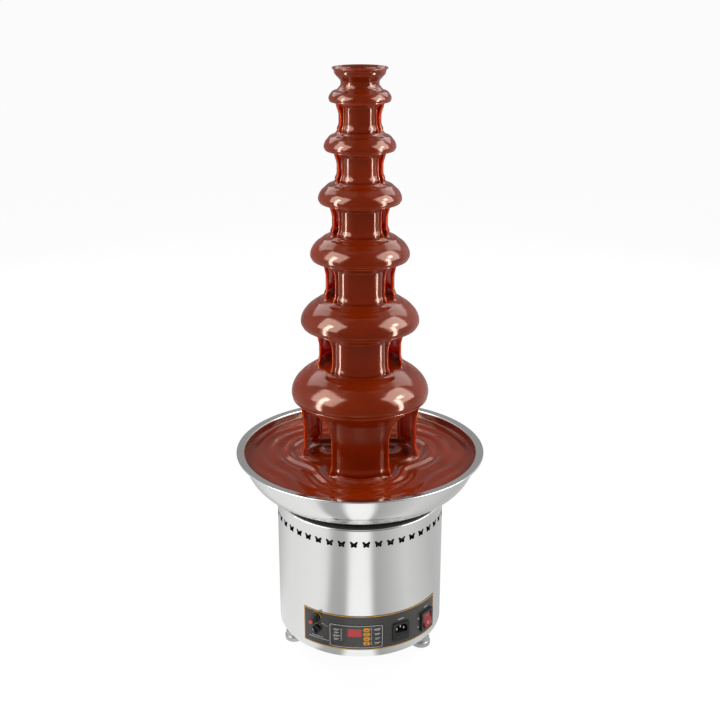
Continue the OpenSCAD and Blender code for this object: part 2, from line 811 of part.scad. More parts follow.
module case_boss_outline(r) {
  for (b = case_bosses) translate(b) circle(r);
}

module gearbox_case() {
  color(dark_steel) difference() {
    union() {
      translate([0, 0, z_deck]) linear_extrude(height = z_case - z_deck) case_outline(case_t);
      translate([0, 0, z_deck]) linear_extrude(height = z_case - z_deck) case_boss_outline(boss_r);
    }
    translate([0, 0, z_deck + case_t]) linear_extrude(height = z_case - z_deck) case_outline(0);
    drive_bores(z_deck, case_t);
    translate([0, 0, z_case - screw_l])
      linear_extrude(height = screw_l + over) case_boss_outline(screw_r + seat_gap);
  }
}

module gearbox_cover() {
  color(dark_steel) difference() {
    union() {
      translate([0, 0, z_case]) linear_extrude(height = case_t) case_outline(case_t);
      translate([0, 0, z_case]) linear_extrude(height = case_t) case_boss_outline(boss_r);
      translate([0, 0, z_case]) cylinder(r = bush_r + case_t, h = 2 * case_t);
    }
    translate([0, 0, z_case - over]) cylinder(r = bush_r + seat_gap, h = 2 * case_t + 2 * over);
    translate([0, 0, z_case - over])
      linear_extrude(height = case_t + 2 * over) case_boss_outline(screw_r + seat_gap);
  }
}

// Outline of a spur gear with involute flanks and a tooth on +X
module gear_outline(teeth) {
  pitch_r = gear_module * teeth / 2;
  roll_r = pitch_r * cos(pressure_deg);
  tip_r = pitch_r + gear_module;
  root_r = pitch_r - 1.25 * gear_module;
  first_r = max(root_r, roll_r);
  flank_steps = 4;
  half_tooth = 90 / teeth - gear_play / 4 / pitch_r * 180 / PI;
  pitch_inv = tan(pressure_deg) * 180 / PI - pressure_deg;
  flank = [for (i = [0 : flank_steps])
           let (r = first_r + (tip_r - first_r) * i / flank_steps,
                roll = acos(roll_r / r),
                turn = half_tooth + pitch_inv - (tan(roll) * 180 / PI - roll))
           [r, turn]];
  side = concat([[root_r, flank[0][1]]], flank);
  tooth = concat([for (p = side) [p[0], -p[1]]], reversed(side));
  polygon([for (i = [0 : teeth - 1], p = tooth)
           p[0] * [cos(p[1] + i * 360 / teeth), sin(p[1] + i * 360 / teeth)]]);
}

module drive_gear() {
  color(brass) difference() {
    union() {
      translate([0, 0, z_gear]) rotate([0, 0, 90]) linear_extrude(height = gear_w) gear_outline(gear_teeth);
      translate([0, 0, z_gear - gear_slack + slide_gap])
        cylinder(r = bush_r, h = gear_w + 2 * gear_slack - 2 * slide_gap);
    }
    translate([0, 0, z_deck]) cylinder(r = shaft_r + seat_gap, h = gear_w + 4 * gear_slack);
  }
}

module drive_shaft() {
  color(steel) {
    translate([0, 0, z_deck - deck_t]) cylinder(r = shaft_r, h = z_auger + shaft_grip - z_deck + deck_t);
    translate([0, 0, z_auger - collar_h]) cylinder(r = shaft_r + shaft_collar_w, h = collar_h);
  }
}

module shaft_bushes() {
  color(brass) {
    ring(bush_r, shaft_r + run_gap, z_deck - deck_t, deck_t + case_t);
    ring(bush_r, shaft_r + run_gap, z_case, 2 * case_t);
    translate([0, gear_offset, 0])
      ring(motor_bush_r, motor_shaft_r + run_gap, z_deck - deck_t, deck_t + case_t);
  }
}

module motor_case() {
  color(black) translate([0, gear_offset, z_motor]) difference() {
    union() {
      difference() {
        cylinder(r = motor_r, h = motor_h);
        translate([0, 0, motor_wall]) cylinder(r = motor_r - motor_wall, h = motor_h);
      }
      cylinder(r = motor_bush_r, h = motor_boss_h);
    }
    translate([0, 0, motor_wall]) cylinder(r = motor_shaft_r + run_gap, h = motor_boss_h);
  }
}

module motor_rotor() {
  color(brass) translate([0, gear_offset, 0]) {
    translate([0, 0, z_motor + motor_wall + slide_gap])
      cylinder(r = motor_shaft_r, h = z_gear + gear_w - z_motor - motor_wall - slide_gap);
    translate([0, 0, z_motor + motor_boss_h + rotor_end])
      cylinder(r = motor_r - motor_wall - rotor_gap, h = motor_h - motor_boss_h - 3 * rotor_end);
  }
}

module motor_pinion() {
  color(brass) translate([0, gear_offset, z_gear]) difference() {
    rotate([0, 0, 180 / pinion_teeth - 90]) linear_extrude(height = gear_w) gear_outline(pinion_teeth);
    translate([0, 0, -over]) cylinder(r = motor_shaft_r + seat_gap, h = gear_w + 2 * over);
  }
}

// Control panel

module control_panel() {
  color(panel_grey) difference() {
    curved_sheet(panel_in_r, panel_out_r, 0, panel_deg, z_panel, panel_h);
    panel_cuts();
  }
}

module display_plate() {
  color(panel_grey) difference() {
    curved_sheet(cover_in_r, cover_out_r, plate_turn, plate_deg, plate_z, plate_h);
    panel_cuts();
  }
}

module plate_screws() {
  tip = shell_t + plate_screw_l;
  color(steel) for (c = plate_corners) on_drum(c[0], c[1]) {
    peg(plate_screw_r, tip, tip + cover_out_r - base_r + plate_head_t / 2);
    peg(plate_screw_r * 1.8, base_r - cover_out_r - seat_gap, plate_head_t);
  }
}

module display_window() {
  color(red) intersection() {
    on_drum(window_turn, z_panel + window_rise) box(window_w, -cut_depth / 2, shell_t + over, window_h);
    translate([0, 0, z_drum]) cylinder(r = cover_out_r, h = base_h, $fn = fine_cuts);
  }
}

// Board with the display module, the four switches under the buttons and its posts
module control_board() {
  color(green) on_drum(window_turn, z_panel + window_rise) {
    translate([0, 0, -board_drop]) box(board_w, board_y, board_y + board_t, board_h);
    box(window_w - 2 * over, shell_t + over, board_y + board_t / 2, window_h - 2 * over);
  }
  switch_back = board_y + 2 * board_t;
  color(green) for (z = button_zs) on_drum(button_turn, z)
    peg(board_switch_r, switch_back, switch_back - button_stem_y - button_travel - slide_gap);
  color(green) intersection() {
    on_drum(window_turn, z_panel + window_rise - board_drop) for (x = [-1, 1], z = [-1, 1])
      translate([x * (board_w / 2 - board_post_inset), 0, z * (board_h / 2 - board_post_inset)])
        peg(board_post_r, board_y + board_t / 2, board_y);
    translate([0, 0, z_drum]) cylinder(r = shell_in_r - seat_gap, h = base_h);
  }
}

module button(i) {
  color(orange) on_drum(button_turn, button_zs[i]) {
    translate([0, button_stem_y - button_brim_t, 0]) rotate([90, 0, 0])
      linear_extrude(height = button_stem_y - button_brim_t + cover_out_r - base_r + button_travel)
        oval_outline(button_w, button_h);
    translate([0, shell_t + button_brim_y, 0]) rotate([90, 0, 0])
      linear_extrude(height = button_brim_t) oval_outline(button_w + button_brim_w, button_h);
    peg(button_stem_r, button_stem_y, button_stem_l);
  }
}

module button_1() { button(0); }
module button_2() { button(1); }
module button_3() { button(2); }
module button_4() { button(3); }

module speed_knob() {
  color(black) on_drum(speed_turn, z_panel + speed_rise) difference() {
    union() {
      peg(speed_knob_r + knob_brim, -knob_back, knob_brim_t);
      peg(speed_knob_r, -knob_back, speed_knob_h * knob_step_share);
      peg(speed_knob_r - knob_step, -knob_back, speed_knob_h);
      peg(spindle_r, pot_h - pot_floor, pot_h - pot_floor + knob_back + over);
    }
    peg(cap_r, -knob_back - speed_knob_h + cap_depth, cap_depth + over);
  }
}

module speed_cap() {
  color(red) on_drum(speed_turn, z_panel + speed_rise)
    translate([0, -knob_back - speed_knob_h + cap_depth, 0]) rotate([90, 0, 0])
      round_disc(cap_r - seat_gap, 0, cap_t, cap_t / 3);
}

// A rotary control behind the drum: a round body with a bush through the drum
module rotary_body() {
  difference() {
    union() {
      peg(pot_r, pot_h + shell_t + pot_gap, pot_h);
      peg(pot_bush_r, pot_h, pot_h + panel_out_r - base_r);
    }
    peg(spindle_r + run_gap, pot_h - pot_floor + slide_gap, pot_h + pot_bush_r);
  }
}

module speed_pot() {
  color(dark_steel) on_drum(speed_turn, z_panel + speed_rise) rotary_body();
}

module selector_knob() {
  color(black) on_drum(selector_turn, z_panel + selector_rise) {
    peg(selector_r, -knob_back, selector_h);
    peg(spindle_r, pot_h - pot_floor, pot_h - pot_floor + knob_back + over);
    rotate([0, -selector_rest_deg, 0])
      box(selector_r * 0.5, -knob_back - selector_h - handle_h, -knob_back - over, selector_r * 1.9);
  }
}

module selector_switch() {
  color(dark_steel) on_drum(selector_turn, z_panel + selector_rise) rotary_body();
}

// Power inlet

// Outline of the three-pin socket, with its two upper corners cut
module socket_outline() {
  w = socket_w / 2;
  h = socket_z / 2;
  cut = 5;
  polygon([[-w, -h], [w, -h], [w, h - cut], [w - cut, h], [cut - w, h], [-w, h - cut]]);
}

// The space outside the panel's skin
module outside_panel() {
  difference() {
    children();
    translate([0, 0, z_drum]) cylinder(r = panel_out_r + seat_gap, h = base_h, $fn = fine_cuts);
  }
}

module inlet_pin_boxes(grow, y_front, y_back) {
  for (p = pin_places) translate([p[0], 0, socket_rise + p[1]])
    box(pin_w + grow, y_front, y_back, pin_h + grow);
}

module inlet_housing() {
  color(black) difference() {
    union() {
      outside_panel() on_drum(inlet_turn, z_panel + inlet_rise)
        rotate([90, 0, 0]) linear_extrude(height = inlet_front)
          rounded_outline(inlet_w, inlet_h, inlet_corner_r);
      on_drum(inlet_turn, z_panel + inlet_rise)
        box(inlet_body_w, -inlet_front + inlet_step, inlet_depth, inlet_body_h);
    }
    on_drum(inlet_turn, z_panel + inlet_rise) {
      translate([0, socket_d - inlet_front, socket_rise]) rotate([90, 0, 0])
        linear_extrude(height = socket_d + over) socket_outline();
      translate([0, 0, drawer_rise])
        box(drawer_w + 2 * slide_gap, -inlet_front - over,
            drawer_depth + slide_gap, drawer_h + 2 * slide_gap);
      inlet_pin_boxes(2 * seat_gap, 0, inlet_depth + over);
    }
  }
}

module inlet_pins() {
  color(steel) on_drum(inlet_turn, z_panel + inlet_rise) inlet_pin_boxes(0, over, inlet_depth + pin_tail);
}

module fuse_drawer() {
  color(black) on_drum(inlet_turn, z_panel + inlet_rise) translate([0, 0, drawer_rise]) difference() {
    box(drawer_w, -inlet_front - drawer_lip, drawer_depth, drawer_h);
    translate([0, 0, drawer_h / 2])
      box(fuse_l + 2 * fuse_room, fuse_y - fuse_r - fuse_room,
          fuse_y + fuse_r + fuse_room, drawer_h + 2 * fuse_r);
  }
}

module fuse() {
  color(glass) on_drum(inlet_turn, z_panel + inlet_rise)
    translate([-fuse_l / 2, fuse_y, drawer_rise + seat_gap])
      rotate([0, 90, 0]) cylinder(r = fuse_r, h = fuse_l);
}

// Rocker switch

module rocker_frame() {
  color(black) difference() {
    union() {
      outside_panel() on_drum(rocker_turn, z_panel + rocker_rise)
        rotate([90, 0, 0]) linear_extrude(height = rocker_frame_d)
          rounded_outline(rocker_frame_w, rocker_frame_h, rocker_corner_r);
      on_drum(rocker_turn, z_panel + rocker_rise)
        box(rocker_body_w, -rocker_frame_d + over, rocker_depth, rocker_body_h);
    }
    on_drum(rocker_turn, z_panel + rocker_rise) {
      box(rocker_w + 2 * slide_gap, -rocker_frame_d - over,
          rocker_depth - rocker_back, rocker_h + 2 * rocker_room);
      translate([-rocker_w / 2 - rocker_pin_l, rocker_pin_y, 0]) rotate([0, 90, 0])
        cylinder(r = rocker_pin_r + run_gap, h = rocker_w + 2 * rocker_pin_l);
    }
  }
}

module rocker() {
  front = -rocker_front;
  half = rocker_h / 2;
  side = [[front, -half], [front + rocker_dip, 0], [front, half], [0, half - rocker_dip],
          [rocker_back, rocker_back], [rocker_back, -rocker_back], [0, rocker_dip - half]];
  color(red) on_drum(rocker_turn, z_panel + rocker_rise) translate([0, rocker_pin_y, 0]) {
    rotate([-rocker_deg / 2, 0, 0]) translate([-rocker_w / 2, 0, 0])
      rotate([90, 0, 90]) linear_extrude(height = rocker_w) polygon(side);
    translate([-rocker_w / 2 - rocker_pin_l + slide_gap, 0, 0]) rotate([0, 90, 0])
      cylinder(r = rocker_pin_r, h = rocker_w + 2 * rocker_pin_l - 2 * slide_gap);
  }
}

// Tower

module tower_base() {
  color(steel) difference() {
    ring(tube_r, tube_in_r, z_floor, joint_z(tier_count - 1) - z_floor);
    for (a = inlet_slot_angles) rotate([0, 0, a])
      translate([-inlet_slot_h / 2, -tube_r - over, z_floor - over])
        cube([inlet_slot_h, tube_r, inlet_slot_h + over]);
  }
}

// Steel skin of a tier: a dome from its collar to its edge, rolled in below
function dish_lip(k) = curtain_rs[k] + coat_t;
function dish_skin(k, inset) =
  let (a = tier_rs[k] - inset,
       from = acos(collar_r / a),
       drop = edge_h(k) - coat_t)
  concat(oval(0, tier_zs[k], a, dome_h(k) - inset, from, 0, dome_steps),
         oval(dish_lip(k), tier_zs[k], a - dish_lip(k), drop - inset, 0, -90, edge_steps));

// A tier: a length of tube, a collar that fits over the tube below, and the dish around it
module tier(k) {
  joint = joint_z(k);
  top = joint_z(k - 1);
  socket_r = tube_r + seat_gap;
  color(steel) rotate_extrude() polygon(concat(
    [[tube_in_r, joint], [tube_in_r, top], [tube_r, top]],
    [[tube_r, collar_top(k)], [collar_r, collar_top(k)]],
    dish_skin(k, 0), reversed(dish_skin(k, tier_t)),
    [[collar_r, joint - socket_h], [socket_r, joint - socket_h], [socket_r, joint]]));
}

module tier_1() { tier(0); }
module tier_2() { tier(1); }
module tier_3() { tier(2); }
module tier_4() { tier(3); }
module tier_5() { tier(4); }
module tier_6() { tier(5); }

// Crown from the tube to its rim, moved out by grow: a bowl, and a lip turned out above it
function flare(grow, top) =
  [for (i = [0 : flare_steps])
   let (u = i / flare_steps,
        bowl = (1 - cos(180 * min(u / bowl_share, 1))) / 2,
        lip = pow(max(u - bowl_share, 0) / (1 - bowl_share), 2))
   [tube_r + grow + (crown_r - crown_lip_w - tube_r) * bowl + crown_lip_w * lip, crown_joint + top * u]];

module crown_cup() {
  color(steel) rotate_extrude() {
    polygon(concat(flare(0, crown_flare_h), reversed(flare(-tier_t, crown_flare_h))));
    translate([tube_in_r - seat_gap - tier_t, crown_joint - spigot_h]) square([tier_t, spigot_h + over]);
    translate([tube_in_r - seat_gap - tier_t, crown_joint]) square([tube_t + tier_t, tier_t]);
  }
}

module auger_core() {
  color(steel) difference() {
    translate([0, 0, z_auger]) cylinder(r = auger_core_r, h = z_auger_top - z_auger);
    translate([0, 0, z_auger - over]) cylinder(r = shaft_r + seat_gap, h = shaft_grip + over + slide_gap);
  }
}

module auger_flight() {
  z_start = z_auger + core_end;
  length = z_auger_top - core_end - z_start;
  half = auger_edge_deg / 2;
  turns = [-half, 0, half];
  color(steel) translate([0, 0, z_start])
    linear_extrude(height = length, twist = -360 * length / auger_pitch,
                   slices = round(auger_cuts * length / auger_pitch), segments = 2 * len(turns))
      polygon(concat([for (t = turns) flight_in_r * [cos(t), sin(t)]],
                     [for (t = reversed(turns)) auger_r * [cos(t), sin(t)]]));
}

// Chocolate

// Outer side of a curtain from its lip down to where it lands
function curtain_side(k, grow) =
  let (lip_z = tier_zs[k] - edge_h(k),
       r = curtain_rs[k] + grow,
       mid = r - curtain_draw,
       low = landing_z(k, mid),
       fall = lip_z - low,
       spread = grow < 0 ? 0 : curtain_flare)
  [[r - curtain_draw / 2, lip_z - fall * 0.14], [mid, lip_z - fall * 0.45], [mid, low + fall * 0.15],
   [mid + spread, landing_z(k, mid + spread)]];

// Coat of a tier, its rolled edge and the curtain under it, as one outline
function coat_outline(k) =
  let (a = tier_rs[k] + coat_t,
       lip_z = tier_zs[k] - edge_h(k),
       skin = dish_skin(k, -seat_gap),
       start = acos((collar_r + seat_gap) / a),
       under = [for (p = skin) if (p[0] > collar_r + seat_gap) p])
  concat(oval(0, tier_zs[k], a, dome_h(k) + coat_t, start, 0, dome_steps),
         oval(curtain_rs[k], tier_zs[k], a - curtain_rs[k], edge_h(k), 0, -90, edge_steps),
         curtain_side(k, 0), reversed(curtain_side(k, -curtain_t)),
         [[curtain_rs[k] - curtain_t, lip_z + coat_t / 2]], reversed(under));

// Openings between the curtains of a tier
module curtain_opening(k, turn, half) {
  mid = curtain_rs[k] - curtain_draw;
  top = tier_zs[k] - edge_h(k) - coat_t;
  low = landing_z(k, mid) + coat_t;
  w = mid * sin(half);
  r = min(w, (top - low) / 2) * opening_round;
  x = w - r;
  z = (top - low) / 2 - r;
  rotate([0, 0, curtain_turn + turn]) translate([0, -tube_r, (top + low) / 2])
    rotate([90, 0, 0]) linear_extrude(height = curtain_rs[k])
      polygon(concat(oval(x, z, r, r, 0, 90, corner_steps), oval(-x, z, r, r, 90, 180, corner_steps),
                     oval(-x, -z, r, r, 180, 270, corner_steps), oval(x, -z, r, r, 270, 360, corner_steps)));
}

module chocolate_tier(k) {
  gap_from = front_degs[k];
  gap_to = rear_turns[k] - rear_degs[k];
  back = 180 - rear_turns[k] - rear_degs[k];
  color(choc) difference() {
    rotate_extrude() polygon(coat_outline(k));
    for (side = [-1, 1]) curtain_opening(k, side * (gap_from + gap_to) / 2, (gap_to - gap_from) / 2);
    curtain_opening(k, 180, back);
  }
}

module chocolate_tier_1() { chocolate_tier(0); }
module chocolate_tier_2() { chocolate_tier(1); }
module chocolate_tier_3() { chocolate_tier(2); }
module chocolate_tier_4() { chocolate_tier(3); }
module chocolate_tier_5() { chocolate_tier(4); }
module chocolate_tier_6() { chocolate_tier(5); }

// Chocolate that fills the crown, runs over its rim and coats the tube under it
module chocolate_crown() {
  neck_r = tube_r + coat_t * 0.7;
  neck_z = coat_z(0, neck_r) + land_gap;
  fill_z = crown_joint + crown_flare_h * 0.5;
  inside = [for (p = flare(-tier_t - seat_gap, crown_flare_h)) if (p[1] >= fill_z) p];
  color(choc) rotate_extrude() polygon(concat(
    [[0, inside[0][1]], inside[0]], inside,
    [[crown_r, z_crown + seat_gap]], reversed(flare(seat_gap, crown_flare_h)),
    [[tube_r + seat_gap, neck_z], [neck_r, neck_z]],
    flare(coat_t * 0.7, crown_flare_h),
    [[crown_r + coat_t * 0.4, z_crown + coat_t], [crown_r - tier_t - coat_t, z_crown + coat_t * 0.6],
     [crown_r * 0.6, z_crown - coat_t], [0, z_crown - coat_t]]));
}

module chocolate_pool() {
  in_r = tube_r + land_gap;
  wall_r = basin_curve_r - basin_t - seat_gap;
  edge_deg = asin(pool_drop / wall_r);
  edge_r = basin_floor_r + wall_r * cos(edge_deg);
  wave_step = ripple_pitch / 6;
  color(choc) rotate_extrude() polygon(concat(
    [[in_r, z_floor + seat_gap]],
    oval(basin_floor_r, z_rim, wall_r, wall_r, -90, -edge_deg, dome_steps),
    reversed([for (r = [in_r : wave_step : edge_r - 2]) [r, pool_top(r)]])));
}

base_shell();
base_plate();
foot_left();
foot_right();
foot_rear();
machine_screws();
basin();
basin_gasket();
shaft_seal();
heater_ring();
thermostat();
gear_deck();
deck_posts();
gearbox_case();
gearbox_cover();
drive_gear();
drive_shaft();
shaft_bushes();
motor_case();
motor_rotor();
motor_pinion();
control_panel();
display_plate();
plate_screws();
display_window();
control_board();
button_1();
button_2();
button_3();
button_4();
speed_knob();
speed_cap();
speed_pot();
selector_knob();
selector_switch();
inlet_housing();
inlet_pins();
fuse_drawer();
fuse();
rocker_frame();
rocker();
tower_base();
tier_1();
tier_2();
tier_3();
tier_4();
tier_5();
tier_6();
crown_cup();
auger_core();
auger_flight();
chocolate_crown();
chocolate_tier_1();
chocolate_tier_2();
chocolate_tier_3();
chocolate_tier_4();
chocolate_tier_5();
chocolate_tier_6();
chocolate_pool();
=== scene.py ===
"""Chocolate fountain: flowing chocolate, steel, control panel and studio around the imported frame."""
import json
import math

import bmesh
import bpy
import numpy as np
from mathutils import Euler, Matrix, Vector

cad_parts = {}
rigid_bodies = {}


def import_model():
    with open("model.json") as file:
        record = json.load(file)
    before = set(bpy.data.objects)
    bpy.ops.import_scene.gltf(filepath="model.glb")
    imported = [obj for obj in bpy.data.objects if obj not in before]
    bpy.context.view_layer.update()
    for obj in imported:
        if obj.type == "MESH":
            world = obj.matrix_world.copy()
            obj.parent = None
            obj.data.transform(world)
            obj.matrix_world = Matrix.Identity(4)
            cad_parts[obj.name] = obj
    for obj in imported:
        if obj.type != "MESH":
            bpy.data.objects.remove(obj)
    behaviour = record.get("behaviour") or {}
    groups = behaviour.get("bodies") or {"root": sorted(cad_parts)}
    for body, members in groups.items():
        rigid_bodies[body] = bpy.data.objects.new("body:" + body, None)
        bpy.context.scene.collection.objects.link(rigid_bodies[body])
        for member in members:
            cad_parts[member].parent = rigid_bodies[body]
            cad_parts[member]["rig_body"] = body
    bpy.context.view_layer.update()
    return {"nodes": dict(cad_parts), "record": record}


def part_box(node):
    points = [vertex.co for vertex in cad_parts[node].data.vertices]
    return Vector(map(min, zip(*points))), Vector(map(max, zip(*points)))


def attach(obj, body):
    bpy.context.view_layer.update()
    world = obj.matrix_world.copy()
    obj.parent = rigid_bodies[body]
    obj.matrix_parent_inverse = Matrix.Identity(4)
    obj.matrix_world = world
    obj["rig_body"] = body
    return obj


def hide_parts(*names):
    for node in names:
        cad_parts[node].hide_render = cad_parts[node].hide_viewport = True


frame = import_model()
slot_colors = {m["slot"]: tuple(m["base_color"][:3]) for m in frame["record"]["materials"]}

bl_info = {
    "name": "Chocolate fountain",
    "version": (1, 0, 0),
    "blender": (4, 5, 0),
    "location": "3D View > Sidebar > Fountain",
    "description": "Dresses the packed chocolate fountain and sets up its studio",
    "category": "Object",
}

MM = 0.001
TIERS = 6
BODY = "base"
# Millimetres: skins and backs of the drum's sheet, the panel and the display plate
DRUM_R, DRUM_BACK_R = 150.0, 148.5
PANEL_R, PANEL_BACK_R = 150.85, 150.05
PLATE_R, PLATE_BACK_R = 151.5, 150.9
# Degrees from the middle of the panel and millimetres above the floor
PANEL_Z, PANEL_HALF_DEG, PANEL_HALF_H = 73.7, 51.5, 34
PLATE_DEG, PLATE_Z, PLATE_HALF_DEG = -13, 66.5, 18.4
SPEED_KNOB, SELECTOR, ROCKER = (-41.2, 93.5), (-40.5, 72.0), (41.5, 67.7)
BUTTON_DEG, BUTTON_TOP_Z, BUTTON_PITCH = -5.9, 81.15, 9.1
# Millimetres: vents, the basin's round wall and the chocolate in it
VENT_SIZE, VENT_Z, VENT_START_DEG = (13.6, 11.8), 249, 2.0
WALL_R, WALL_Z, WALL_BEND = 132, 365, 75
POOL_IN_R, POOL_OUT_R, POOL_Z = 30.5, 205.2, 349.3
# Metres: where the lowest curtains land, and how near points of made and copied meshes are merged
LANDING_Z = 0.3495
MERGE, COPY_MERGE = 1e-6, 2e-6
COPY_SHARP_DEG = 32


class FountainFlow(bpy.types.PropertyGroup):
    """Sizes and colour of the flowing chocolate"""

    tier_z: bpy.props.FloatVectorProperty(
        name="Tier edges", description="Heights of the tiers' edges from the top down", size=TIERS,
        default=(0.9805, 0.9025, 0.8165, 0.721, 0.604, 0.475), unit="LENGTH")
    tier_r: bpy.props.FloatVectorProperty(
        name="Tier radii", description="Radii of the steel tiers from the top down", size=TIERS,
        default=(0.0492, 0.0578, 0.0681, 0.0826, 0.1004, 0.1184), unit="LENGTH")
    curtain_r: bpy.props.FloatVectorProperty(
        name="Curtain radii", description="Radii where the curtains leave the tiers", size=TIERS,
        default=(0.040, 0.044, 0.052, 0.064, 0.077, 0.105), unit="LENGTH")
    curtain_deg: bpy.props.FloatVectorProperty(
        name="Curtain half angles", description="Half angles of the front curtains, in degrees", size=TIERS,
        default=(53, 52, 50, 46, 42, 30))
    rear_turn: bpy.props.FloatProperty(
        name="Lowest rear turn", description="Turn of the lowest tier's rear curtains, in degrees", default=111)
    rear_deg: bpy.props.FloatProperty(
        name="Lowest rear half angle", description="Half angle of those curtains, in degrees", default=24)
    turn: bpy.props.FloatProperty(
        name="Turn", description="Direction of the front curtains, in degrees", default=-10)
    dome_ratio: bpy.props.FloatVectorProperty(
        name="Dome ratios", description="Height of each tier's dome for a radius of one", size=TIERS,
        default=(0.41, 0.5, 0.5, 0.5, 0.5, 0.5))
    edge_ratio: bpy.props.FloatProperty(
        name="Edge ratio", description="Depth of a tier's rolled edge for a radius of one", default=0.125)
    coat: bpy.props.FloatProperty(
        name="Coat", description="Thickness of the coat on the tiers", default=0.002, unit="LENGTH")
    sheet: bpy.props.FloatProperty(
        name="Curtain", description="Thickness of a curtain", default=0.0022, unit="LENGTH")
    bead: bpy.props.FloatProperty(
        name="Bead", description="How much a curtain thickens along its edges", default=0.0008, unit="LENGTH")
    draw: bpy.props.FloatProperty(
        name="Draw", description="How far a curtain draws in as it falls", default=0.005, unit="LENGTH")
    fold: bpy.props.FloatProperty(
        name="Fold", description="Height of the fold where a curtain lands", default=0.0030, unit="LENGTH")
    ripple: bpy.props.FloatProperty(
        name="Ripple", description="Height of the ripples in the basin", default=0.0034, unit="LENGTH")
    pitch: bpy.props.FloatProperty(
        name="Ripple pitch", description="Distance from ripple to ripple", default=0.027, unit="LENGTH")
    color: bpy.props.FloatVectorProperty(
        name="Chocolate", description="Colour of the chocolate", size=3, subtype="COLOR",
        default=(0.176, 0.0138, 0.0006))
    # Painted glow: a bright orange painted into the chocolate's colour where light would shine through it
    painted_glow_color: bpy.props.FloatVectorProperty(
        name="Painted chocolate glow", description="Painted glow where light would come through the chocolate", size=3, subtype="COLOR",
        default=(0.66, 0.095, 0.004))


class FountainSteel(bpy.types.PropertyGroup):
    """Finishes of the metal"""

    drum_color: bpy.props.FloatVectorProperty(
        name="Drum", description="Colour of the brushed drum", size=3, subtype="COLOR", default=(0.80, 0.80, 0.79))
    drum_rough: bpy.props.FloatProperty(
        name="Drum roughness", description="Roughness of the brushed drum", default=0.2, subtype="FACTOR")
    basin_rough: bpy.props.FloatProperty(
        name="Basin roughness", description="Roughness of the polished basin", default=0.13, subtype="FACTOR")
    vent_count: bpy.props.IntProperty(
        name="Vents", description="Number of butterfly vents around the drum", default=44)


class FountainPanel(bpy.types.PropertyGroup):
    """Print and controls of the panel"""

    gold: bpy.props.FloatVectorProperty(
        name="Edge line", description="Colour of the panel's edge line", size=3, subtype="COLOR",
        default=(0.58, 0.29, 0.010))
    white: bpy.props.FloatVectorProperty(
        name="Print", description="Colour of the panel's light print", size=3, subtype="COLOR",
        default=(0.55, 0.55, 0.53))
    line_w: bpy.props.FloatProperty(
        name="Edge line width", description="Width of the panel's edge line", default=0.0015, unit="LENGTH")
    print_h: bpy.props.FloatProperty(
        name="Print height", description="Height of the print above the panel", default=0.00008, unit="LENGTH")
    rib_count: bpy.props.IntProperty(
        name="Knob ribs", description="Number of ribs around the speed knob", default=22)


class FountainStage(bpy.types.PropertyGroup):
    """Camera and light of the studio"""

    lens: bpy.props.FloatProperty(
        name="Lens", description="Focal length in millimetres", default=57.6)
    camera: bpy.props.FloatVectorProperty(
        name="Camera", description="Place of the camera", size=3, default=(-0.3388, -1.8642, 1.2122), unit="LENGTH")
    pitch: bpy.props.FloatProperty(
        name="Camera pitch", description="Tilt of the camera from straight down, in degrees", default=70.22)
    yaw: bpy.props.FloatProperty(
        name="Camera yaw", description="Turn of the camera about the upright, in degrees", default=-10.3)
    fill: bpy.props.FloatProperty(
        name="Fill", description="Strength of the surrounding light on matt surfaces", default=0.36)
    box_power: bpy.props.FloatProperty(
        name="Softbox", description="Power of each side softbox in watts", default=38.0)
    gleam_power: bpy.props.FloatProperty(
        name="Gleam", description="Power each softbox has in reflections beside its light, in watts", default=75.0)
    card_power: bpy.props.FloatProperty(
        name="Rear cards", description="Power of each card behind the fountain in reflections, in watts", default=15.0)
    strip_power: bpy.props.FloatProperty(
        name="Strips", description="Power of each upright strip in reflections, in watts", default=26.0)
    rear_power: bpy.props.FloatProperty(
        name="Rear lamps", description="Power of each lamp behind the fountain in watts", default=60.0)
    core_power: bpy.props.FloatProperty(
        name="Softbox core", description="Power of the bright core of each softbox in watts", default=17.0)


# Mesh helpers


class Shells:
    """Collects closed shells of one piece, and a value for each point where the values have a name"""

    def __init__(self, value_name=None):
        self.points, self.faces, self.values, self.count = [], [], [], 0
        self.value_name = value_name

    def grid(self, points, wrap_rows=False, caps=False, values=None):
        """Quads over rings of points; caps close the first and last ring"""
        rows, cols = points.shape[:2]
        index = np.arange(rows * cols).reshape(rows, cols) + self.count
        full = np.vstack([index, index[:1]]) if wrap_rows else index
        full = np.hstack([full, full[:, :1]])
        quads = np.stack([full[:-1, :-1], full[1:, :-1], full[1:, 1:], full[:-1, 1:]], -1)
        self.faces += quads.reshape(-1, 4).tolist()
        if caps:
            self.faces += [index[0].tolist(), index[-1][::-1].tolist()]
        self.points.append(points.reshape(-1, 3))
        self.values.append(np.zeros(rows * cols) if values is None else values.ravel())
        self.count += rows * cols

    def mesh(self, name):
        mesh = bpy.data.meshes.new(name)
        mesh.from_pydata(np.vstack(self.points).tolist(), [], self.faces)
        if self.value_name:
            layer = mesh.attributes.new(self.value_name, "FLOAT", "POINT")
            layer.data.foreach_set("value", np.concatenate(self.values).astype(np.float32))
        return mesh


def linked(name, data):
    """A new object in the scene"""
    item = bpy.data.objects.new(name, data)
    bpy.context.scene.collection.objects.link(item)
    return item


def evaluated(item):
    """The plain mesh that an object's modifiers make"""
    bpy.context.view_layer.update()
    depsgraph = bpy.context.evaluated_depsgraph_get()
    return bpy.data.meshes.new_from_object(item.evaluated_get(depsgraph))


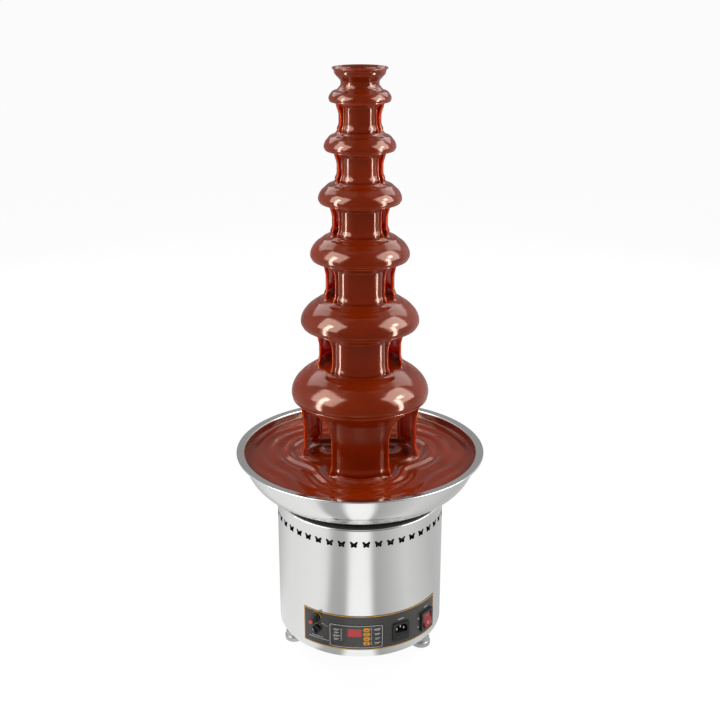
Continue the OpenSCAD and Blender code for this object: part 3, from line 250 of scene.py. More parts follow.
def merge_points(mesh, gap, repair=False):
    """Merges doubled points; a repair also drops thin faces and points the others outwards"""
    bm = bmesh.new()
    bm.from_mesh(mesh)
    bmesh.ops.remove_doubles(bm, verts=bm.verts, dist=gap)
    if repair:
        bmesh.ops.dissolve_degenerate(bm, dist=gap / 10, edges=bm.edges)
        bmesh.ops.recalc_face_normals(bm, faces=bm.faces)
    bm.to_mesh(mesh)
    bm.free()


def shade_mesh(mesh, sharp_deg):
    """Shades a mesh smooth between its sharp edges"""
    mesh.shade_smooth()
    mesh.set_sharp_from_angle(angle=math.radians(sharp_deg))


def add_piece(name, made, body, slot, replaced=(), sharp_deg=38, finish=None):
    """Makes shells or a mesh a piece that rides on a body"""
    mesh = made.mesh(name) if isinstance(made, Shells) else made
    merge_points(mesh, MERGE, True)
    shade_mesh(mesh, sharp_deg)
    return link_piece(name, mesh, finish or finish_for(slot), body, replaced)


def link_piece(name, mesh, finish, body, replaced):
    mesh.name = name
    mesh.materials.clear()
    mesh.materials.append(finish)
    piece = linked(name, mesh)
    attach(piece, body)
    if replaced:
        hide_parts(*replaced)
    return piece


def copy_node(node, name, slot, bevel=0.0, drum_radii=(), cutter=None):
    """A smooth copy of a CAD node that stands for it; its upright round walls get exact normals"""
    source = frame["nodes"][node]
    mesh = source.data.copy()
    merge_points(mesh, COPY_MERGE)
    if cutter:
        mesh = cut(mesh, cutter)
    shade_mesh(mesh, COPY_SHARP_DEG)
    if drum_radii:
        round_normals(mesh, drum_radii)
    piece = link_piece(name, mesh, finish_for(slot), source["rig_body"], (node,))
    if bevel:
        edge = piece.modifiers.new("Rounded edges", "BEVEL")
        edge.width = bevel * MM
        edge.segments = 2
        edge.limit_method = "ANGLE"
        edge.angle_limit = math.radians(40)
    return piece


def cut(mesh, cutter):
    """A mesh with another one taken out of it"""
    body, tool = linked("cut_body", mesh), linked("cut_tool", cutter)
    modifier = body.modifiers.new("Cut", "BOOLEAN")
    modifier.object = tool
    modifier.solver = "EXACT"
    made = evaluated(body)
    for item in (body, tool):
        bpy.data.objects.remove(item)
    return made


def read(items, key, width, kind=np.float32):
    """A layer of a mesh as rows of numbers"""
    values = np.zeros(len(items) * width, kind)
    items.foreach_get(key, values)
    return values.reshape(-1, width)


def round_normals(mesh, radii):
    """Sets exact normals on the walls of the drum's own curve"""
    off_wall, along = 0.06 * MM, 0.985
    normals = read(mesh.corner_normals, "vector", 3)
    co = read(mesh.vertices, "co", 3)[read(mesh.loops, "vertex_index", 1, np.int32)[:, 0]]
    sides = read(mesh.polygons, "loop_total", 1, np.int32)[:, 0]
    flat = np.repeat(read(mesh.polygons, "normal", 3), sides, axis=0)
    reach = np.hypot(co[:, 0], co[:, 1])
    outward = np.stack([co[:, 0] / reach, co[:, 1] / reach, np.zeros(len(co))], -1)
    facing = (flat * outward).sum(1)
    on_wall = np.abs(reach[:, None] - np.array(radii) * MM).min(1) < off_wall
    wall = on_wall & (np.abs(facing) > along)
    normals[wall] = outward[wall] * np.sign(facing[wall])[:, None]
    mesh.normals_split_custom_set(normals.tolist())


def drum_place(turn, z):
    """Frame of a piece on the drum: its own -Y points out, with y = 0 on the drum's skin"""
    return Matrix.Rotation(math.radians(turn), 4, "Z") @ Matrix.Translation((0, -DRUM_R * MM, z * MM))


def placed(points, matrix):
    """Points in millimetres, moved by a frame, in metres"""
    turned = np.array(matrix)
    return np.asarray(points, float) * MM @ turned[:3, :3].T + turned[:3, 3]


def polar(r, deg, z):
    """Points about the upright axis; zero degrees is the middle of the panel and positive turns right"""
    a = np.radians(deg)
    return np.stack(np.broadcast_arrays(r * np.sin(a), -r * np.cos(a), z), -1)


def smooth_step(x):
    x = np.clip(x, 0, 1)
    return x * x * (3 - 2 * x)


def bell(x, width):
    """A bump of height one"""
    return np.exp(-(x / width) ** 2)


def revolve(shells, profile, steps, values=None):
    """A ring of a closed outline of (radius, height) points in millimetres"""
    r, z = np.asarray(profile, float).T[:, :, None] * MM
    shells.grid(polar(r, np.linspace(0, 360, steps, endpoint=False), z), wrap_rows=True, values=values)


def arc(x, z, rx, rz, start, end, steps):
    """Points of an elliptical arc in a plane"""
    t = np.radians(np.linspace(start, end, steps + 1))
    return np.stack([x + rx * np.cos(t), z + rz * np.sin(t)], -1)


def lathe(shells, profile, matrix, steps=64):
    """A turned shape on a drum frame; the profile gives (radius, distance out of the drum) in millimetres"""
    r, y = np.asarray(profile, float).T[:, :, None]
    t = np.linspace(0, 2 * math.pi, steps, endpoint=False)
    points = np.stack(np.broadcast_arrays(r * np.cos(t), -y, r * np.sin(t)), -1)
    shells.grid(placed(points, matrix), caps=True)


def rounded_loop(w, h, r, steps=6):
    """Outline of a rounded rectangle about the middle"""
    x, z = w / 2 - r, h / 2 - r
    corners = ((x, z), (-x, z), (-x, -z), (x, -z))
    return np.vstack([arc(*at, r, r, 90 * i, 90 * i + 90, steps) for i, at in enumerate(corners)])


def upright(loop, y):
    """An outline as points at a distance out of the drum"""
    return np.stack([loop[:, 0], np.full(len(loop), -y), loop[:, 1]], -1)


def block(shells, matrix, w, h, corner, back, front, edge, spin=0.0):
    """A block with a rounded outline and a rounded front edge, from depth back to height front out of the drum"""
    rows = [upright(rounded_loop(w, h, corner), back)]
    for a in np.linspace(0, math.pi / 2, 6):
        inset = edge - edge * math.cos(a)
        loop = rounded_loop(w - 2 * inset, h - 2 * inset, max(corner - inset, 0.05))
        rows.append(upright(loop, front - edge + edge * math.sin(a)))
    turn = np.array(Matrix.Rotation(math.radians(spin), 3, "Y"))
    shells.grid(placed(np.array(rows) @ turn.T, matrix), caps=True)


def on_panel(radius):
    """Wraps print around the panel: u runs right along the curve, w is a height, h stands out"""
    return lambda u, w, h: polar((radius + h) * MM, np.degrees(u / radius), w * MM)


def on_flat(matrix, front):
    """Lays print on a flat front of a piece on the drum"""
    return lambda u, w, h: placed(np.stack(np.broadcast_arrays(u, -(front + h), w), -1), matrix)


def unit(rows):
    return rows / np.linalg.norm(rows, axis=1)[:, None]


def left_of(rows):
    """Directions turned left by a right angle"""
    return np.stack([-rows[:, 1], rows[:, 0]], -1)


def stroke(shells, path, width, height, surface, closed=False):
    """A printed line of a given width along a path of (u, w) points in millimetres"""
    path = np.asarray(path, float)
    ends = np.vstack([path, path[:1]]) if closed else path
    dense = []
    for p, q in zip(ends[:-1], ends[1:]):
        n = max(1, int(np.hypot(*(q - p)) // 3))
        dense += [p + (q - p) * i / n for i in range(n)]
    if not closed:
        dense.append(ends[-1])
    p = np.array(dense)
    after = np.roll(p, -1, 0) - p
    before = p - np.roll(p, 1, 0)
    if not closed:
        after[-1], before[0] = before[-1], after[0]
    after, before = unit(after), unit(before)
    normal = unit(left_of(after + before))
    miter = normal * (width / 2 / np.maximum((normal * left_of(after)).sum(1), 0.4))[:, None]
    sides = [(p + miter, 0.0), (p + miter, height), (p - miter, height), (p - miter, 0.0)]
    points = np.stack([surface(s[:, 0], s[:, 1], np.full(len(s), h)) for s, h in sides], 1)
    shells.grid(points, wrap_rows=closed, caps=not closed)


# Node trees


class Nodes:
    """Builds nodes in a shader or geometry tree"""

    def __init__(self, tree):
        self.tree = tree

    def node(self, kind, settings=None, **sockets):
        """A node; a socket is given by its name or as an underscore and its number"""
        made = self.tree.nodes.new(kind)
        for key, value in (settings or {}).items():
            setattr(made, key, value)
        for key, value in sockets.items():
            self.put(made.inputs[int(key[1:]) if key[0] == "_" else key.replace("_", " ")], value)
        return made

    def put(self, socket, value):
        if isinstance(value, bpy.types.NodeSocket):
            self.tree.links.new(value, socket)
        else:
            socket.default_value = value

    def math(self, operation, a, b=0.0, c=0.0):
        return self.node("ShaderNodeMath", {"operation": operation}, _0=a, _1=b, _2=c).outputs[0]

    def times(self, a, b):
        return self.math("MULTIPLY", a, b)

    def mix(self, factor, low, high):
        """A colour between two"""
        return self.node("ShaderNodeMix", {"data_type": "RGBA"}, Factor=factor, _6=low, _7=high).outputs[2]

    def span(self, value, low, high, from_low=0.3, from_high=0.7):
        """A number moved to another range"""
        return self.node("ShaderNodeMapRange", Value=value, From_Min=from_low, From_Max=from_high, To_Min=low,
                         To_Max=high).outputs[0]


class Tree(Nodes):
    """A Geometry Nodes tree; its inputs are given as names for each kind of socket"""

    def __init__(self, name, **inputs):
        super().__init__(bpy.data.node_groups.new(name, "GeometryNodeTree"))
        self.ids = {}
        self.port("Geometry", "OUTPUT", "Geometry")
        for kind, labels in dict(Geometry=["Geometry"], **inputs, Material=["Material"]).items():
            for label in labels:
                self.port(label, "INPUT", kind)
        self.inputs = self.tree.nodes.new("NodeGroupInput").outputs
        self.result = self.tree.nodes.new("NodeGroupOutput").inputs

    def port(self, label, way, kind):
        socket = self.tree.interface.new_socket(name=label, in_out=way, socket_type="NodeSocket" + kind)
        self.ids[label] = socket.identifier

    def xyz(self, **parts):
        return self.node("ShaderNodeCombineXYZ", **parts).outputs[0]

    def finish(self, geometry):
        real = self.node("GeometryNodeRealizeInstances", Geometry=geometry)
        done = self.node("GeometryNodeSetMaterial", Geometry=real.outputs[0], Material=self.inputs["Material"])
        self.put(self.result["Geometry"], done.outputs[0])
        return self

    def bake(self, name, mesh, values):
        """Runs the tree on a mesh and returns the plain mesh that comes out"""
        holder = linked(name + "_source", mesh)
        modifier = holder.modifiers.new("Rule", "NODES")
        modifier.node_group = self.tree
        for label, value in values.items():
            modifier[self.ids[label]] = value
        made = evaluated(holder)
        holder.modifiers.remove(modifier)
        bpy.data.objects.remove(holder)
        return made


def copies_tree():
    """Copies of a mesh in columns round an axis and in rows along it; a copy's own -Y points away from the axis"""
    t = Tree("Copies around an axis", Int=["Count", "Rows"], Float=["Radius", "Start", "Step", "Row pitch"],
             Vector=["Place", "Turn"])
    given = t.inputs
    index = t.node("GeometryNodeInputIndex").outputs[0]
    column = t.math("MODULO", index, given["Count"])
    row = t.math("FLOOR", t.math("DIVIDE", index, given["Count"]))
    angle = t.math("MULTIPLY_ADD", column, given["Step"], given["Start"])
    x = t.times(t.math("SINE", angle), given["Radius"])
    y = t.times(t.math("COSINE", angle), t.times(given["Radius"], -1.0))
    place = t.xyz(X=x, Y=y, Z=t.times(row, given["Row pitch"]))
    total = t.times(given["Count"], given["Rows"])
    points = t.node("GeometryNodePoints", Count=total, Position=place).outputs[0]
    made = t.node("GeometryNodeInstanceOnPoints", Points=points, Instance=given["Geometry"], Rotation=t.xyz(Z=angle))
    moved = t.node("GeometryNodeTransform", Geometry=made.outputs[0], Translation=given["Place"],
                   Rotation=given["Turn"])
    return t.finish(moved.outputs[0])


def copies(name, mesh, finish, count, step, radius, start=0.0, place=(0.0, 0.0, 0.0), turn=(0.0, 0.0, 0.0), rows=1,
           pitch=0.0):
    """A mesh of copies around an axis, with angles in radians and lengths in metres"""
    return copies_tree().bake(name, mesh, {
        "Count": count, "Rows": rows, "Radius": radius, "Start": start, "Step": step, "Row pitch": pitch,
        "Place": place, "Turn": turn, "Material": finish})


def ripple_tree(sources):
    """Rings of ripples around the feet of the curtains, on the points that the attribute top marks"""
    t = Tree("Ripples in the basin", Float=["Height", "Reach", "Pitch", "Fade", "Wander", "Seed"])
    given = t.inputs
    place = t.node("GeometryNodeInputPosition").outputs[0]
    top = t.node("GeometryNodeInputNamedAttribute", {"data_type": "FLOAT"}, Name="top").outputs[0]
    noise = t.node("ShaderNodeTexNoise", {"noise_dimensions": "4D"}, Vector=place, W=given["Seed"], Scale=17.0,
                   Detail=1.0)
    wander = t.times(t.math("SUBTRACT", noise.outputs[0], 0.5), given["Wander"])
    near = None
    for centre in sources:
        gap = t.node("ShaderNodeVectorMath", {"operation": "DISTANCE"}, _0=place, _1=centre).outputs["Value"]
        near = gap if near is None else t.math("SMOOTH_MIN", near, gap, 0.03)
    far = t.math("ADD", t.math("SUBTRACT", near, given["Reach"]), wander)
    wave = t.math("COSINE", t.times(t.math("DIVIDE", far, given["Pitch"]), 2 * math.pi))
    fade = t.math("EXPONENT", t.times(t.math("DIVIDE", t.math("ABSOLUTE", far), given["Fade"]), -1.0))
    rise = t.times(t.times(t.times(wave, fade), given["Height"]), top)
    moved = t.node("GeometryNodeSetPosition", Geometry=given["Geometry"], Offset=t.xyz(Z=rise))
    return t.finish(moved.outputs[0])


# Materials


class Finish(Nodes):
    """A node material on a Principled shader, with patterns in Object coordinates"""

    def __init__(self, name, rough, metallic=0.0, **sockets):
        self.material = bpy.data.materials.new(name)
        self.material.use_nodes = True
        super().__init__(self.material.node_tree)
        self.shader = self.tree.nodes["Principled BSDF"]
        self.set(Roughness=rough, Metallic=metallic, **sockets)
        self.place = self.node("ShaderNodeTexCoord").outputs["Object"]

    def set(self, **sockets):
        for key, value in sockets.items():
            self.put(self.shader.inputs[key.replace("_", " ")], value)

    def noise(self, stretch, detail=3.0, rough=0.55):
        """A noise pattern, with a separate scale along each axis"""
        scaled = self.node("ShaderNodeMapping", Vector=self.place, Scale=stretch).outputs[0]
        return self.node("ShaderNodeTexNoise", Vector=scaled, Scale=1.0, Detail=detail, Roughness=rough).outputs[0]

    def vary(self, pattern, color, low, high):
        """A colour that a pattern makes darker and lighter"""
        ends = [(*(min(1.0, c * amount) for c in color), 1.0) for amount in (low, high)]
        return self.mix(self.span(pattern, 0.0, 1.0), *ends)

    def bump(self, value, distance, strength=1.0):
        self.set(Normal=self.node("ShaderNodeBump", Height=value, Distance=distance, Strength=strength).outputs[0])


def plain_finish(name, color, rough, grain=900, vary=0.12, metallic=0.0, bump=0.00002, **sockets):
    """Moulded, painted or turned surface: fine grain, cloudy colour and roughness"""
    f = Finish(name, rough, metallic, **sockets)
    cloud = f.noise((35, 35, 35), 4.0)
    f.set(Base_Color=f.vary(cloud, color, 1 - vary, 1 + vary),
          Roughness=f.span(cloud, max(rough - 0.05, 0.02), rough + 0.07))
    if bump:
        f.bump(f.noise(np.broadcast_to(grain, 3).tolist()), bump)
    return f.material


def ink(name, color, rough=0.5, vary=0.12):
    """Print without grain"""
    return plain_finish(name, color, rough, vary=vary, bump=0.0)


def brushed_finish(name, color, rough, hairlines, vary=0.03, scratch=0.000004):
    """Brushed steel: hairlines along one direction, with faint handling marks"""
    f = Finish(name, rough, 1.0)
    lines = f.noise(hairlines, 4.0, 0.7)
    marks = f.math("MULTIPLY_ADD", lines, 0.35, f.noise((6, 6, 9)))
    f.set(Base_Color=f.vary(lines, color, 1 - vary, 1 + vary),
          Roughness=f.span(marks, rough * 0.8, rough * 1.25, 0.4, 0.95))
    f.bump(lines, scratch)
    return f.material


def chocolate_finish(flow):
    """Liquid chocolate: deep red-brown gloss, with more subsurface and a painted glow in its colour where the
    attribute thin is set: along curtain edges, on the inside faces of curtains and on the lip bead
    """
    f = Finish("Chocolate", 0.13, IOR=1.47, Specular_IOR_Level=0.48, Specular_Tint=(1.0, 0.72, 0.58, 1.0),
               Subsurface_Scale=0.010, Subsurface_Radius=(1.0, 0.25, 0.1))
    thin = f.node("ShaderNodeAttribute", {"attribute_name": "thin"}).outputs["Fac"]
    body = f.vary(f.noise((9, 9, 14), 2.0), flow.color, 0.86, 1.16)
    # Painted glow: the colour moves towards the glow colour as the attribute thin rises
    f.set(Base_Color=f.mix(f.span(thin, 0.0, 1.0, 0.0, 1.0), body, (*flow.painted_glow_color, 1.0)),
          Subsurface_Weight=f.span(thin, 0.25, 1.0, 0.0, 0.4),
          Roughness=f.span(f.noise((55, 55, 30)), 0.09, 0.17))
    f.bump(f.noise((70, 70, 28), 1.0), 0.00012, 0.5)
    return f.material


# Name, colour or the record's own, roughness, hairlines along the axes and variation
BRUSHED = {
    "tower_steel": ("Spun tower steel", None, 0.2, (9, 9, 900)),
    "shaft_steel": ("Turned shaft steel", None, 0.24, (40, 40, 1400)),
    "foot_chrome": ("Polished feet", (0.50, 0.50, 0.49), 0.20, (60, 60, 1200), 0.04),
    "screw_steel": ("Plated screws", (0.16, 0.16, 0.16), 0.35, (700, 700, 700), 0.06),
    "pin_metal": ("Nickel pins", None, 0.2, (300, 300, 1500), 0.04),
}
# Name, colour or the record's own, roughness, grain, variation, metal and bump
PLAIN = {
    "heater_aluminium": ("Cast heater", None, 0.45, 260, 0.1, 1.0, 0.00006),
    "gearbox_aluminium": ("Cast gearbox", None, 0.48, 240, 0.1, 1.0, 0.00008),
    "control_metal": ("Stamped control metal", None, 0.4, 500, 0.06, 1.0),
    "drive_brass": ("Machined brass", None, 0.27, (900, 900, 120), 0.08, 1.0, 0.00001),
    "frame_steel": ("Primed deck", None, 0.5, 420, 0.1),
    "motor_paint": ("Motor enamel", None, 0.32, 500, 0.2),
    "rubber": ("Gasket rubber", None, 0.6, 1100, 0.2, 0.0, 0.00004),
    "black_plastic": ("Black moulding", (0.011, 0.011, 0.012), 0.36, 1300, 0.2),
    "panel_paint": ("Panel paint", (0.044, 0.042, 0.039), 0.33, 1500, 0.1),
    "display_film": ("Display film", (0.040, 0.038, 0.036), 0.26, 1500, 0.1),
    "display_red": ("Display window", (0.33, 0.020, 0.024), 0.16, 900, 0.08, 0.0, 0.0),
    "board_green": ("Circuit board", None, 0.4, 300, 0.15),
    "button_orange": ("Orange buttons", (0.60, 0.25, 0.008), 0.3, 900, 0.06),
    "cap_red": ("Red cap", (0.66, 0.052, 0.042), 0.28, 900, 0.06),
    "rocker_red": ("Red rocker", (0.27, 0.014, 0.016), 0.2, 900, 0.08, 0.0, 0.0),
    "fuse_glass": ("Fuse glass", None, 0.05, 900, 0.02, 0.0, 0.0),
}
LIT_OR_CLEAR = {
    "display_red": {"Emission_Strength": 0.12, "Emission_Color": (0.8, 0.03, 0.03, 1.0)},
    "fuse_glass": {"Transmission_Weight": 0.9},
}
finishes = {}


def finish_for(slot):
    """The finish of a material slot of the record, made on first use"""
    if slot not in finishes:
        finishes[slot] = make_finish(slot, bpy.context.scene.fountain_steel)
    return finishes[slot]


def make_finish(slot, steel):
    if slot == "chocolate":
        return chocolate_finish(bpy.context.scene.fountain_flow)
    if slot == "drum_steel":
        return brushed_finish("Brushed drum steel", steel.drum_color, steel.drum_rough, (5, 5, 1500))
    if slot == "basin_steel":
        return brushed_finish("Polished basin steel", steel.drum_color, steel.basin_rough, (7, 7, 700), 0.02, 2e-6)
    maker, table = (brushed_finish, BRUSHED) if slot in BRUSHED else (plain_finish, PLAIN)
    name, color, *rest = table[slot]
    return maker(name, color or slot_colors[slot], *rest, **LIT_OR_CLEAR.get(slot, {}))


# Pieces


class FOUNTAIN_OT_frame(bpy.types.Operator):
    """Gives every CAD node that stays the finish of its slot"""

    bl_idname = "fountain.frame"
    bl_label = "Frame finishes"

    def execute(self, context):
        for part in frame["record"]["subparts"]:
            mesh = frame["nodes"][part["node"]].data
            mesh.materials.clear()
            mesh.materials.append(finish_for(part["material_slot"]))
        return {"FINISHED"}


class FOUNTAIN_OT_drum(bpy.types.Operator):
    """Drum, feet and gasket as smooth sheet metal and rubber, with butterfly vents"""

    bl_idname = "fountain.drum"
    bl_label = "Drum"

    def execute(self, context):
        count = context.scene.fountain_steel.vent_count
        cutter = copies("vents", self.vent(), finish_for("drum_steel"), count, 2 * math.pi / count, DRUM_R * MM,
                        math.radians(VENT_START_DEG), (0.0, 0.0, VENT_Z * MM))
        drum = copy_node("base_shell", "drum_shell", "drum_steel", drum_radii=(DRUM_R, DRUM_BACK_R), cutter=cutter)
        # Painted shade: the drum's inner walls behind the vents get a near-black finish in place of their shadow
        self.paint_shade_inside(drum.data)
        copy_node("base_plate", "drum_floor", "drum_steel")
        copy_node("basin_gasket", "gasket_ring", "rubber")
        for side in ("left", "right", "rear"):
            self.foot("foot_" + side, "foot_turned_" + side)
        return {"FINISHED"}

    def vent(self):
        """Prism of one butterfly vent"""
        half = np.array([(0, 0.22), (0.10, 0.28), (0.22, 0.42), (0.34, 0.50), (0.45, 0.49), (0.50, 0.40),
                         (0.49, 0.26), (0.44, 0.12), (0.39, 0.02), (0.375, -0.06), (0.385, -0.16), (0.385, -0.28),
                         (0.36, -0.41), (0.29, -0.495), (0.20, -0.49), (0.11, -0.42), (0.04, -0.365),
                         (0, -0.36)]) * VENT_SIZE
        outline = np.vstack([half, half[-2:0:-1] * (-1, 1)])
        shells = Shells()
        shells.grid(np.array([upright(outline, -y) for y in (-3.0, 3.0)]) * MM, caps=True)
        mesh = shells.mesh("vent")
        merge_points(mesh, MERGE, True)
        return mesh

    def paint_shade_inside(self, mesh):
        """Paints shade on the walls that look into the drum: its inner skin and vent cuts around the vents' height get
        a near-black dull finish in place of the shadow inside
        """
        mesh.materials.append(plain_finish("Dull inside", (0.012, 0.012, 0.012), 0.7, 300))
        skin, low, high = (DRUM_R - 0.3) * MM, 0.03, 0.27
        # Faces inside the skin in the band of the vents that do not face outwards take the painted shade
        for face in mesh.polygons:
            out = Vector((face.center.x, face.center.y, 0))
            if out.length < skin and low < face.center.z < high:
                face.material_index = int(face.normal.dot(out.normalized()) < 0.5)

    def foot(self, node, name):
        """A turned foot: pad, groove, neck and stud"""
        low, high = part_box(node)
        top = high[2] / MM
        shells = Shells()
        revolve(shells, [(0, 0.1), (15.6, 0.1), (17.0, 1.2), (17.2, 2.4), (17.2, 8.2), (16.8, 9.2), (15.6, 9.7),
                         (15.2, 10.2), (15.2, 17.0), (14.6, 18.6), (13.0, 19.5), (4, 19.6), (4, top), (0, top)], 72)
        mesh = shells.mesh(name)
        mesh.transform(Matrix.Translation(((low[0] + high[0]) / 2, (low[1] + high[1]) / 2, 0)))
        add_piece(name, mesh, node, "foot_chrome", (node,), 40)


class FOUNTAIN_OT_basin(bpy.types.Operator):
    """Basin pressed from sheet: floor, curved wall, rolled rim and skirt"""

    bl_idname = "fountain.basin"
    bl_label = "Basin"

    def execute(self, context):
        shells = Shells()
        inside = np.vstack([[(12.1, 290)], [(r, 290) for r in np.linspace(30, WALL_R, 8)],
                            arc(WALL_R, WALL_Z, WALL_BEND, WALL_BEND, -90, -1.5, 48)[1:]])
        bend = arc(211, 363, 4, 2, 180, 90, 6)
        rim = arc(219.2, 363.2, 1.8, 1.8, 90, -90, 14)
        under = [(217.5, 361.6), (212, 362.6), (209.3, 361.8)]
        outside = arc(WALL_R, WALL_Z, 77, 77, -2.4, -90, 48)
        outside = outside[outside[:, 0] > 138.6]
        skirt = [(138.2, 287.9), (138.0, 286.8), (138.0, 279.2), (137.4, 278.6), (136.6, 278.6), (136, 279.2),
                 (136, 287.2)]
        floor = [(134, 288), (60, 288), (16.1, 288), (16.1, 280), (12.1, 280)]
        revolve(shells, np.vstack([inside, bend, rim, under, outside, skirt, floor]), 192)
        add_piece("basin_bowl", shells, BODY, "basin_steel", ("basin",), 50)
        return {"FINISHED"}


class FOUNTAIN_OT_tower(bpy.types.Operator):
    """Tube and tiers of the tower, smooth under the chocolate"""

    bl_idname = "fountain.tower"
    bl_label = "Tower"

    def execute(self, context):
        for node in ["tower_base", "crown_cup"] + ["tier_%d" % (k + 1) for k in range(TIERS)]:
            copy_node(node, node + "_spun", "tower_steel")
        return {"FINISHED"}


class FOUNTAIN_OT_flow(bpy.types.Operator):
    """Chocolate over the tiers: a coat on each dome and three curtains that fall from its edge"""

    bl_idname = "fountain.flow"
    bl_label = "Chocolate on the tiers"

    def execute(self, context):
        self.flow = context.scene.fountain_flow
        front_drawn, rear_drawn = 0.16, 0.45
        for k in range(TIERS):
            # Each point's share of the painted glow colour goes into the attribute thin
            shells = Shells("thin")
            self.coat(shells, k)
            edges = self.edges(k)
            for i, (left, right) in enumerate(edges):
                left_top = (edges[i - 1][1] + left - (360 if i == 0 else 0)) / 2
                right_top = (right + edges[(i + 1) % 3][0] + (360 if i == 2 else 0)) / 2
                self.curtain(shells, k, (left, right), (left_top, right_top), rear_drawn if i else front_drawn)
            add_piece("chocolate_flow_%d" % (k + 1), shells, BODY, "chocolate", ("chocolate_tier_%d" % (k + 1),), 75)
        return {"FINISHED"}

    def edges(self, k):
        """Left and right edge of each curtain, in degrees, in turn around the tower"""
        half = self.flow.curtain_deg[k]
        turn, rear = (self.flow.rear_turn, self.flow.rear_deg) if k == TIERS - 1 else (120, half)
        middles = ((0, half), (turn, rear), (360 - turn, rear))
        return [(self.flow.turn + at - wide, self.flow.turn + at + wide) for at, wide in middles]

    def dome(self, k, r):
        """Height of the coat on a tier's dome at a radius"""
        outer = self.flow.tier_r[k] + self.flow.coat
        rise = self.flow.tier_r[k] * self.flow.dome_ratio[k] + self.flow.coat
        return self.flow.tier_z[k] + rise * np.sqrt(np.maximum(1 - (r / outer) ** 2, 0))

    def landing(self, k, r):
        """Height where a curtain of tier k lands at a radius"""
        return self.dome(k + 1, r) if k < TIERS - 1 else np.full_like(r, LANDING_Z)

    def coat(self, shells, k):
        """The coat on a dome, with a bead along its lower edge that carries a painted highlight, and rings around the
        curtains that land on it
        """
        flow = self.flow
        tier, coat, cr, zt = flow.tier_r[k] / MM, flow.coat / MM, flow.curtain_r[k] / MM, flow.tier_z[k] / MM
        outer, edge, rise = tier + coat, (tier + coat) * flow.edge_ratio, tier * flow.dome_ratio[k]
        tube_r, gap, lip_highlight_share, calm = 32.2, 0.06, 0.14, 0.008
        dome = arc(0, zt, outer, rise + coat, math.degrees(math.acos(tube_r / outer)), 0, 34)
        roll = arc(cr, zt, outer - cr, edge, 0, -30, 10)[1:]
        tip = roll[-1]
        along = (tip - roll[-2]) / np.linalg.norm(tip - roll[-2])
        bead_r = 1.1 + 0.0045 * outer
        middle = tip + bead_r * (0.8 * along + 0.35 * np.array([along[1], -along[0]]))
        begin = math.degrees(math.atan2(*(tip - middle)[::-1]))
        bead = arc(*middle, bead_r, bead_r, begin, begin - 190, 14)
        underside = [(cr + 0.3, zt - edge + 0.2), (cr - 0.2, zt - edge + 2.0)]
        inner_roll = arc(cr + coat, zt, tier + gap - cr - coat, edge - coat + gap, -90, 0, 10)
        inner = arc(0, zt, tier + gap, rise + gap, 0, math.degrees(math.acos(tube_r / (tier + gap))), 20)[1:]
        profile = np.vstack([dome, roll, bead, underside, inner_roll, inner]) * MM
        deg = np.linspace(0, 360, 216, endpoint=False)
        r, z = (np.repeat(values[:, None], len(deg), 1) for values in profile.T)
        rows = len(dome)
        ring = self.rings(k, r[:rows], deg) * smooth_step((outer * MM - r[:rows]) / calm)
        z[:rows] += ring
        r[:rows] += ring * 0.35
        # Painted highlight on the bead: its share of the glow colour draws a light line along the lip
        thin = np.zeros_like(r)
        thin[rows + len(roll):][:len(bead)] = lip_highlight_share
        shells.grid(polar(r, deg[None, :], z), wrap_rows=True, values=thin)

    def rings(self, k, r, deg):
        """Rise of the rings around the feet of the curtains that land on a tier"""
        pitch, fade, inner_fade, height = 0.0130, 0.0105, 0.004, 0.0017
        crown_foot = 0.0328
        if k:
            foot, mask = self.flow.curtain_r[k - 1] - self.flow.draw + self.flow.fold * 0.8, np.zeros_like(deg)
            for left, right in self.edges(k - 1):
                away = np.abs((deg - (left + right) / 2 + 180) % 360 - 180)
                mask = np.maximum(mask, smooth_step(((right - left) / 2 + 7 - away) / 12))
        else:
            foot, mask = crown_foot, np.ones_like(deg)
        d = r - foot
        wave = np.where(d > 0, np.cos(2 * math.pi * d / pitch) * np.exp(-d / fade), bell(d, inner_fade))
        return wave * height * mask[None, :]

    def curtain(self, shells, k, mid_edges, top_edges, drawn):
        """One curtain, drawn in over the first part of its fall, with a strand along each side, and a painted glow
        along its edges, webs and inner face
        """
        flow = self.flow
        rows, ring, tuck, flare, nose, sunk = 46, 88, 0.0008, 0.0024, 0.0016, 0.0012
